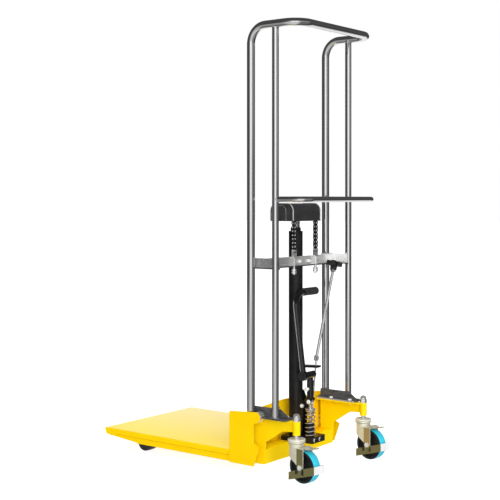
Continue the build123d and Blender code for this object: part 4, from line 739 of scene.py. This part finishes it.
# %% Tails of the rear runs, drawn into the anchors at rest
RAM_TRAVEL, TAIL_LINKS, TAIL_SLIM = 706.0, 44, 0.88
CLEVIS_LOW, CLEVIS_HIGH, TABLE_STEPS = 850.5, 868.5, 40000
tail_pitch = RAM_TRAVEL / TAIL_LINKS
tail_pins = rear_pins[-1] + RAM_TRAVEL - tail_pitch * np.arange(1, TAIL_LINKS + 1)
tail_links = tail_pins + tail_pitch / 2


def drawn_in(points):
    """The raised tail at rest: the inverse of z + travel (3 t^2 - 2 t^3), where t runs up the clevis."""
    z = np.linspace(CLEVIS_LOW, CLEVIS_HIGH + 2 * PITCH_MM, TABLE_STEPS)
    t = np.clip((z - CLEVIS_LOW) / (CLEVIS_HIGH - CLEVIS_LOW), 0, 1)
    rest = np.interp(points[:, 2], z + RAM_TRAVEL * t**2 * (3 - 2 * t), z)
    return np.stack([points[:, 0], CHAIN_REAR + TAIL_SLIM * (points[:, 1] - CHAIN_REAR), rest], -1)


points, faces = strand(CHAIN_REAR, tail_links, True)
rear_tail = new_piece("rear_chain_tail", at(drawn_in(points)), faces, chain_oiled, smooth_angle=40)
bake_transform(rear_tail)
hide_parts("rear_chains")
points, faces = pins(CHAIN_REAR, tail_pins)
rear_tail_pins = new_piece("rear_chain_tail_pins", at(drawn_in(points)), faces, pin_ends, smooth_angle=40)
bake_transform(rear_tail_pins)
print("rear links drawn in at rest:", 2 * len(tail_links))

# %% Front runs, from the wheels down to the carriage
FRONT_END = 226.0
front_count = int((WHEEL_Z - FRONT_END) // PITCH_MM)
front_pins = FRONT_END + PITCH_MM * np.arange(1, front_count + 1)
front_links = FRONT_END + PITCH_MM * (np.arange(front_count) + 0.5)
points, faces = strand(CHAIN_FRONT, front_links, False)
front_run = new_piece("front_chain_links", at(points), faces, chain_oiled, smooth_angle=40)
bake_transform(front_run)
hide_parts("front_chains")
points, faces = pins(CHAIN_FRONT, front_pins)
front_run_pins = new_piece("front_chain_pins", at(points), faces, pin_ends, smooth_angle=40)
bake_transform(front_run_pins)
print("front links:", 2 * len(front_links))

# %% [markdown]
# ## Turned pieces
# Tyres, hubs, rollers, the grip, bolts and washers are all turned: a profile of radius against
# distance along the axle is spun about that axle. Blender's own Spin would do that too; here a
# second function first rounds every corner of a profile, as moulded and turned edges are.

# %% Spin a profile
RUN_SHARE = 0.48


def spun(profile, centre, axis, sides=64):
    """Points centre + s axis + r (cos(u) first + sin(u) second) for each (r, s) of the profile."""
    axis = unit(axis)
    first, second = cross_axes(axis)
    radius, along = np.asarray(profile, float).T[..., None, None]
    points = np.asarray(centre, float) + along * axis + radius * spokes(even_angles(sides), first, second)
    return points.reshape(-1, 3), grid_faces(len(profile), sides, close_columns=True)


def rounded(profile, radius, steps=5):
    """A profile with each inner corner drawn as a curve of about that radius, less where runs are short."""
    profile = np.asarray(profile, float)
    runs = np.diff(profile, axis=0)
    lengths = np.linalg.norm(runs, axis=1)
    ways = runs / lengths[:, None]
    out = [profile[:1]]
    for k in range(1, len(profile) - 1):
        a, b = ways[k - 1], ways[k]
        turn = math.acos(float(np.clip(a @ b, -1, 1)))
        set_back = min(radius * math.tan(turn / 2), RUN_SHARE * lengths[k - 1], RUN_SHARE * lengths[k])
        s = np.linspace(0, 1, steps)[:, None]
        start, stop = profile[k] - a * set_back, profile[k] + b * set_back
        out.append((1 - s) ** 2 * start + 2 * s * (1 - s) * profile[k] + s**2 * stop)
    out.append(profile[-1:])
    return np.concatenate(out)


def both_halves(half, crest=()):
    """A closed profile from its half at positive distances, with the crest between the two halves."""
    mirrored = [(radius, -along) for radius, along in half]
    return [*mirrored, *crest, *half[::-1], mirrored[0]]


print("a rounded corner has", len(rounded([(0, 0), (1, 0), (1, 1)], 0.2)) - 2, "points")

# %% [markdown]
# Each caster has a blue elastic tyre on a black hub, and both stand turned a little about the stem.
# The tread is crowned by a millimetre. Tyre and hub are alike on both sides of the wheel, so only
# half of each profile is written down.

# %% Blue tyres
CASTER_X, CASTER_Y, TRAIL = 244.0, -205.0, 43.0
WHEEL_RADIUS, TYRE_HALF, HUB_RADIUS, TREAD_CROWN, TYRE_ROUND = 62.5, 20.0, 57.0, 1.0, 3.0
wheel_axis = np.array((math.cos(CASTER_TURN), math.sin(CASTER_TURN), 0.0))
behind_stem = TRAIL * np.array((math.sin(CASTER_TURN), -math.cos(CASTER_TURN), 0.0))
SIDES = (("left", -1), ("right", 1))
wheel_centre = {side: (sign * CASTER_X, CASTER_Y, WHEEL_RADIUS) + behind_stem for side, sign in SIDES}
tyre_half = [(HUB_RADIUS, TYRE_HALF), (WHEEL_RADIUS - TREAD_CROWN, TYRE_HALF)]
tyre_profile = rounded(both_halves(tyre_half, [(WHEEL_RADIUS, 0)]), TYRE_ROUND)
for side, centre in wheel_centre.items():
    points, faces = spun(tyre_profile, centre, wheel_axis, 96)
    tyre = new_piece(f"{side}_tyre", at(points), faces, tyre_blue, f"{side}_wheel", 50)
    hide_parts(f"{side}_caster_tyre")
print("tyre profile points:", len(tyre_profile))

# %% Caster hubs
AXLE_HOLE, BOSS_RADIUS, BOSS_HALF, WEB_HALF, HUB_RIM, HUB_ROUND = 6.05, 14.0, 24.7, 8.0, 51.0, 1.0
hub_half = [
    (AXLE_HOLE, BOSS_HALF), (BOSS_RADIUS, BOSS_HALF), (BOSS_RADIUS, WEB_HALF),
    (HUB_RIM, WEB_HALF), (HUB_RIM, TYRE_HALF), (HUB_RADIUS, TYRE_HALF),
]
hub_profile = rounded(both_halves(hub_half), HUB_ROUND, 4)
for side, centre in wheel_centre.items():
    points, faces = spun(hub_profile, centre, wheel_axis, 72)
    hub = new_piece(f"{side}_hub", at(points), faces, knob_plastic, f"{side}_wheel", 40)
    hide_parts(f"{side}_caster_hub")
print("caster wheels dressed")

# %% [markdown]
# Two black rollers carry the front ends of the legs. Little of them shows, so they are plain: a
# tread with a slight crown, and a raised face round the axle.

# %% Load rollers under the platform's front
ROLLER_X, ROLLER_Y, ROLLER_RADIUS, ROLLER_HALF, ROLLER_ROUND = 215.0, 600.0, 39.0, 26.0, 2.0
FACE_RADIUS, FACE_STEP, TREAD_HALF, ROLLER_CROWN = 30.0, 1.0, 24.5, 1.0
roller_half = [
    (AXLE_HOLE, ROLLER_HALF), (FACE_RADIUS, ROLLER_HALF), (FACE_RADIUS + FACE_STEP, TREAD_HALF),
    (ROLLER_RADIUS - ROLLER_CROWN, TREAD_HALF),
]
roller_profile = rounded(both_halves(roller_half, [(ROLLER_RADIUS, 0)]), ROLLER_ROUND, 4)
for side, sign in SIDES:
    points, faces = spun(roller_profile, (sign * ROLLER_X, ROLLER_Y, ROLLER_RADIUS), RIGHT, 72)
    roller = new_piece(f"{side}_roller", at(points), faces, roller_black, f"{side}_load_wheel", 40)
    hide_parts(f"{side}_load_roller")
print("roller profile points:", len(roller_profile))

# %% [markdown]
# The pump lever ends in a rubber sleeve with a collar, fine rings and a round nose. The rings are a
# cosine in the profile, because a relief in the finish would leave the outline straight.

# %% Rubber grip with fine rings
GRIP_Y, GRIP_Z, GRIP_RADIUS, GRIP_START, GRIP_END = -75.0, 706.0, 16.0, -10.0, 85.0
RING_FIRST, RING_LAST, RING_PITCH, RING_DEPTH, RING_SINK = GRIP_START + 6, GRIP_END - 10, 7.0, 0.5, 0.6
NOSE_ROUND, COLLAR_LENGTH, COLLAR_ROUND, LEVER_HOLE, POLE = 8.0, 4.0, 1.5, 12.1, 0.001
ring_at = np.linspace(RING_FIRST, RING_LAST, 90)
ripple = RING_DEPTH * np.cos(2 * np.pi * (ring_at - GRIP_START) / RING_PITCH)
rings = np.stack([GRIP_RADIUS - RING_SINK + ripple, ring_at], -1)
a = np.linspace(0, np.pi / 2, 10)
nose = np.stack([np.cos(a), np.sin(a)], -1) * NOSE_ROUND + (GRIP_RADIUS - NOSE_ROUND, GRIP_END - NOSE_ROUND)
collar = rounded(
    [
        (LEVER_HOLE, GRIP_START), (GRIP_RADIUS, GRIP_START),
        (GRIP_RADIUS, GRIP_START + COLLAR_LENGTH), rings[0],
    ],
    COLLAR_ROUND,
)
profile = np.concatenate([collar, rings[1:], nose, [(POLE, GRIP_END)]])
points, faces = spun(profile, (0, GRIP_Y, GRIP_Z), RIGHT, 48)
grip = new_piece("ringed_grip", at(points), faces, grip_rubber, "pump_lever", 40)
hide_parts("lever_grip")
print("grip profile points:", len(profile))

# %% [markdown]
# ## Release knob
# The lowering knob is a moulded star with four arms. Seen along its rod, its radius swells and
# shrinks four times in a turn, by a power of a raised cosine. Along the rod the outline is drawn in
# at both faces, so the moulding has no sharp rim. A plain hub below takes the rod. The outline could
# be drawn by hand and extruded, but a formula keeps the four arms alike.

# %% Star and hub
KNOB, JOINT = np.array((151.0, -118.0, 806.0)), np.array((46.5, -100.0, 430.5))
KNOB_RADIUS, KNOB_WAIST, KNOB_HEIGHT, KNOB_HUB, HUB_BELOW = 34.0, 15.0, 21.0, 14.0, 16.0
KNOB_SET = (0.0, 1.0, 0.2)
rod_way = unit(KNOB - JOINT)
knob_first = unit(np.cross(rod_way, KNOB_SET))
knob_second = np.cross(rod_way, knob_first)
ARMS, ARM_TURN, ARM_POWER, RIM_POWER, RIM_DRAW = 4, 0.35, 0.55, 6, 4.0
ROD_HOLE, HUB_ABOVE, KNOB_ROUND = 6.0, 2.0, 2.0
u = even_angles(128)
swell = (0.5 + 0.5 * np.cos(ARMS * (u - ARM_TURN))) ** ARM_POWER
lobes = KNOB_WAIST + (KNOB_RADIUS - KNOB_WAIST) * swell
w = np.linspace(-1, 1, 25)
draw_in = RIM_DRAW * (1 - (1 - np.abs(w) ** RIM_POWER) ** (1 / RIM_POWER))
closed = np.where(np.abs(w) == 1, POLE, 1.0)
reach = np.maximum(lobes[None] - draw_in[:, None], POLE) * closed[:, None]
rise = (w[:, None, None] + 1) / 2 * KNOB_HEIGHT * rod_way
points = KNOB + rise + reach[..., None] * spokes(u, knob_first, knob_second)
star = points.reshape(-1, 3), grid_faces(len(w), len(u), close_columns=True)
hub_line = [
    (ROD_HOLE, -HUB_BELOW), (KNOB_HUB, -HUB_BELOW), (KNOB_HUB, HUB_ABOVE), (ROD_HOLE, HUB_ABOVE),
    (ROD_HOLE, -HUB_BELOW),
]
points, faces = joined([star, spun(rounded(hub_line, KNOB_ROUND), KNOB, rod_way, 48)])
knob = new_piece("star_knob", at(points), faces, knob_plastic, "knob_set", 45)
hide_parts("release_knob")
print("knob corners:", len(points))

# %% [markdown]
# ## Small hardware
# A clamp bolt closes the lever's socket, and a nut holds the pin of its roller. A washer lies under
# the bolt's head and under that nut. A hexagon is a prism with six sides; a washer is a short
# turned ring.

# %% Clamp bolt and pin nut on the pump lever
SOCKET_Y, CLAMP_Z, NOSE_Z, PLATE_X, WASHER_ROUND = -102.0, 312.0, 258.0, 12.0, 0.5
HEAD_OUT, HEAD_IN, CLAMP_WASHER, BOLT_RADIUS, CLAMP_NUT = -37.0, -29.0, 2.0, 4.5, 8.0
BOLT_START, BOLT_END, NUT_START, NUT_END = -28.0, 16.0, 11.5, 17.0
NOSE_WASHER, NOSE_NUT, NOSE_NUT_HEIGHT = 2.0, 6.5, 5.0


def washer(centre, start, stop, hole, radius):
    """A flat ring about X between two distances from its centre, with softened edges."""
    outline = [(hole, start), (radius, start), (radius, stop), (hole, stop), (hole, start)]
    return spun(rounded(outline, WASHER_ROUND, 3), centre, RIGHT, 32)


def hexagon(centre, start, stop, radius):
    """A six-sided nut or bolt head about X between two distances from its centre."""
    points, faces = prism(disc_outline(radius, 6), start, stop)
    return points + np.asarray(centre, float), faces


clamp, nose_pin = (0, SOCKET_Y, CLAMP_Z), (0, SOCKET_Y, NOSE_Z)
bolt_line = [(POLE, BOLT_START), (BOLT_RADIUS, BOLT_START), (BOLT_RADIUS, BOLT_END), (POLE, BOLT_END)]
nose_face = -PLATE_X - NOSE_WASHER
lever_nuts = joined([
    hexagon(clamp, HEAD_OUT, HEAD_IN, CLAMP_NUT),
    washer(clamp, HEAD_IN, HEAD_IN + CLAMP_WASHER, hole=4.0, radius=9.5),
    spun(bolt_line, clamp, RIGHT, 24),
    hexagon(clamp, NUT_START, NUT_END, CLAMP_NUT),
    washer(nose_pin, nose_face, -PLATE_X, hole=3.0, radius=9.0),
    hexagon(nose_pin, nose_face - NOSE_NUT_HEIGHT, nose_face, NOSE_NUT),
])
nuts = new_piece("lever_nuts", at(lever_nuts[0]), lever_nuts[1], bolt_zinc, "pump_lever", 30)
print("lever nuts reach from", HEAD_OUT, "to", NUT_END, "mm")

# %% [markdown]
# ## Rims of the chain cover
# The hood over the chain wheels has rolled rims, and each end plate carries a pressed arch. Both
# are thin round bars along an arch: up one side, round the corner, across and down again. The
# function that carried the mast's circle serves for them too.

# %% Arched rims
COVER_X, COVER_REAR, COVER_FRONT, COVER_LOW, COVER_HIGH = 98.0, -86.0, 28.0, 997.0, 1069.0
RIM, INSET, RIM_BEND, RIM_FOOT = 2.4, 1.0, 29.0, 1.0
END_INSET, END_REAR, END_FRONT, END_DROP, END_BEND = 4.0, -47.0, 6.0, 8.0, 24.0


def arch(x, rear_y, front_y, top_z, bend):
    """A bar of radius RIM along an arch in the plane of that x."""
    low_z = COVER_LOW + RIM_FOOT
    route = [(x, rear_y, low_z), (x, rear_y, top_z), (x, front_y, top_z), (x, front_y, low_z)]
    return tube_surface(*carried_frame(route, bend, 14), RIM, 12)


arches = (
    (COVER_X - INSET, COVER_REAR + INSET, COVER_FRONT - INSET, COVER_HIGH - INSET, RIM_BEND),
    (COVER_X - END_INSET, END_REAR, COVER_FRONT - END_FRONT, COVER_HIGH - END_DROP, END_BEND),
)
rims = joined([arch(sign * x, *rest) for sign in (-1, 1) for x, *rest in arches])
cover_rims = new_piece("cover_rims", at(rims[0]), rims[1], rim_sheen, "ram", 50)

# %% [markdown]
# ## Camera, floor and light
# The machine was photographed from behind its left side with a long lens held level at chest
# height, in the even light of a bright studio.

# %% Camera
FOCAL_PIXELS = 1082.24
IMAGE_PIXELS = 500.0
HORIZON_ROW = 198.92
TURN = math.radians(52.42)
CAMERA_PLACE = (-3662.5, -2608.84, 1087.5)
camera_data = bpy.data.cameras.new("photo_camera")
camera_data.sensor_width = 36.0
camera_data.lens = FOCAL_PIXELS / IMAGE_PIXELS * camera_data.sensor_width
camera_data.shift_y = (HORIZON_ROW - IMAGE_PIXELS / 2) / IMAGE_PIXELS
camera_data.clip_end = 100.0
camera = bpy.data.objects.new("photo_camera", camera_data)
bpy.context.scene.collection.objects.link(camera)
camera.location = at(CAMERA_PLACE)
camera.rotation_euler = (math.pi / 2, 0.0, -TURN)
bpy.context.scene.camera = camera
print("lens", round(camera_data.lens, 1), "shift", round(camera_data.shift_y, 4))

# %% [markdown]
# The floor is one pale sheet just under the wheels. It glows, so that it meets the white room
# without an edge, and it is hidden from mirrors and from matt surfaces, so that the glow does not
# light the machine from below.

# %% Floor
floor_finish = make_finish(
    "studio_floor", shades=((0.54, 0.54, 0.54), (0.57, 0.57, 0.57)), gloss=(0.55, 0.7),
    cloud=0.5, grain=60.0, relief=0.01,
    Emission_Color=(1.0, 1.0, 1.0, 1.0), Emission_Strength=0.85,
)
FLOOR_REACH, FLOOR_DROP = 40.0, 0.0005
corners = FLOOR_REACH * np.array([(-1, -1, 0), (1, -1, 0), (1, 1, 0), (-1, 1, 0)], float)
floor = new_piece("studio_floor", corners - (0, 0, FLOOR_DROP), [(0, 1, 2, 3)], floor_finish)
floor.visible_glossy = False
floor.visible_diffuse = False
print("floor half width:", FLOOR_REACH, "m")

# %% [markdown]
# Seen from the camera the room is plain white. In mirrors it is a ring of panels. A place on the
# ring is a share of a full turn, with the camera at one half and its right side above that. There
# are a low, a high and a top ring, because a tube mirrors another height at each part of its
# length. A bright panel near one half draws the line along each tube, and in the lower two rings a
# panel behind the machine, at 0 and 1, lights the tubes' edges. Above the rings is a dark ceiling,
# and behind the machine a low glow and lit ground. Heights are the ray's Z; those of the ground and
# of the glow's upper end are measured downward. Matt surfaces see an even room with one bright
# panel near the camera.

# %% Panels of the room
LOW_RING = (
    (0.00, 0.95), (0.06, 0.95), (0.085, 0.05), (0.20, 0.05), (0.27, 0.28), (0.36, 0.55), (0.46, 0.70),
    (0.55, 0.62), (0.59, 0.14), (0.70, 0.18), (0.76, 0.06), (0.915, 0.06), (0.94, 0.95), (1.00, 0.95),
)
HIGH_RING = (
    (0.00, 0.85), (0.045, 0.85), (0.065, 0.05), (0.29, 0.05), (0.36, 0.20), (0.42, 0.45), (0.455, 1.05),
    (0.535, 1.05), (0.57, 0.40), (0.62, 0.20), (0.72, 0.12), (0.80, 0.05), (0.95, 0.05), (0.965, 0.85),
    (1.00, 0.85),
)
TOP_RING = (
    (0.00, 0.06), (0.30, 0.06), (0.37, 0.15), (0.42, 0.45), (0.45, 1.15), (0.54, 1.10), (0.58, 0.42),
    (0.70, 0.36), (0.75, 0.10), (1.00, 0.06),
)
CEILING, ROOM, FILL, GLOW, GROUND = 0.07, 0.50, 5.50, 0.5, 1.0
LOW_TO_HIGH, HIGH_TO_TOP, TOP_TO_CEILING = (-0.14, -0.07), (0.0, 0.06), (0.16, 0.40)
GROUND_DIP, GROUND_AHEAD = (0.25, 0.45), (0.35, 0.60)
GLOW_LOW, GLOW_HIGH, GLOW_AHEAD = (0.14, 0.20), (-0.34, -0.28), 0.85
FILL_NEAR, FILL_HEIGHT = (0.75, 0.95), (-0.30, 0.05)
FILL_TURN = TURN - math.radians(12.0)
print("stops of the rings:", len(LOW_RING), len(HIGH_RING), len(TOP_RING))

# %% World: where a ray points
world = bpy.data.worlds.new("studio")
bpy.context.scene.world = world
world.use_nodes = True
tree = world.node_tree
background = tree.nodes["Background"]
parts_of_ray = add_node(tree, "SeparateXYZ", Vector=add_node(tree, "TexCoord").outputs["Generated"])
ray_x, ray_y, ray_z = parts_of_ray.outputs


def product(first, second):
    """The product of two sockets, or of a socket and a number."""
    return add_math(tree, "MULTIPLY", first, second)


def grey(value):
    """A grey colour of that value."""
    return (value, value, value, 1.0)


def along_way(x, y):
    """The ray's share along a level way: ray x * x + ray y * y."""
    return add_math(tree, "ADD", product(ray_x, x), product(ray_y, y))


forward = along_way(math.sin(TURN), math.cos(TURN))
right = along_way(math.cos(TURN), -math.sin(TURN))
from_camera = add_math(tree, "ARCTAN2", right, product(forward, -1.0))
turn_share = add_math(tree, "ADD", product(from_camera, 0.5 / math.pi), 0.5)
print("nodes for the ray:", len(tree.nodes))

# %% World: what the tubes mirror and what lights the matt surfaces


def ring_shades(ring):
    """A colour ramp over the turn share, with a grey stop for each (place, value)."""
    ramp = add_node(tree, "ValToRGB", Fac=turn_share)
    while len(ramp.color_ramp.elements) < len(ring):
        ramp.color_ramp.elements.new(0.5)
    for element, (place, value) in zip(ramp.color_ramp.elements, ring):
        element.position = place
        element.color = grey(value)
    return ramp.outputs["Color"]


def ramp_of(value, low, high):
    """A smooth step of a socket, 0 at low and 1 at high."""
    step = add_node(tree, "MapRange", Value=value, From_Min=low, From_Max=high)
    step.interpolation_type = "SMOOTHSTEP"
    return step.outputs["Result"]


downward = product(ray_z, -1.0)
ring = mix_colours(tree, ramp_of(ray_z, *LOW_TO_HIGH), ring_shades(LOW_RING), ring_shades(HIGH_RING))
ring = mix_colours(tree, ramp_of(ray_z, *HIGH_TO_TOP), ring, ring_shades(TOP_RING))
mirrored = mix_colours(tree, ramp_of(ray_z, *TOP_TO_CEILING), ring, grey(CEILING))
lit_ground = product(ramp_of(downward, *GROUND_DIP), ramp_of(forward, *GROUND_AHEAD))
mirrored = mix_colours(tree, lit_ground, mirrored, grey(GROUND))
far_side = product(ramp_of(ray_z, *GLOW_LOW), add_math(tree, "GREATER_THAN", forward, GLOW_AHEAD))
mirrored = mix_colours(tree, product(far_side, ramp_of(downward, *GLOW_HIGH)), mirrored, grey(GLOW))
towards_fill = along_way(-math.sin(FILL_TURN), -math.cos(FILL_TURN))
fill_share = product(ramp_of(towards_fill, *FILL_NEAR), ramp_of(ray_z, *FILL_HEIGHT))
lit_room = mix_colours(tree, fill_share, grey(ROOM), grey(FILL))
paths = add_node(tree, "LightPath").outputs
unseen = mix_colours(tree, paths["Is Glossy Ray"], lit_room, mirrored)
shown = mix_colours(tree, paths["Is Camera Ray"], unseen, grey(1.0))
feed(tree, background.inputs["Color"], shown)
print("world nodes:", len(tree.nodes))

# %% [markdown]
# Three soft boxes shade the painted faces: a weak one behind the left side, a weak one behind the
# right side, and a strong one above the platform. Mirrors do not show them, because the room's panels
# are what the tubes reflect.

# %% Lamps


def soft_box(name, place, target, size, power):
    """A square area lamp at a place in metres, turned to face a target and left out of mirrors."""
    lamp = bpy.data.lights.new(name, "AREA")
    lamp.size = size
    lamp.energy = power
    holder = bpy.data.objects.new(name, lamp)
    bpy.context.scene.collection.objects.link(holder)
    holder.location = place
    aim = np.asarray(target, float) - np.asarray(place, float)
    holder.rotation_euler = Vector(aim).to_track_quat("-Z", "Y").to_euler()
    holder.visible_glossy = False


soft_box("key_box", (-3.4, -1.6, 3.6), (0, 0, 0.6), size=1.8, power=5)
soft_box("top_box", (-0.6, 1.2, 4.2), (0, 0, 0.2), size=2.2, power=95)
soft_box("rim_box", (2.4, -2.4, 2.6), (0, 0, 0.7), size=1.6, power=8)
bpy.context.scene.view_settings.view_transform = "Standard"
print("lamps:", len(bpy.data.lights))
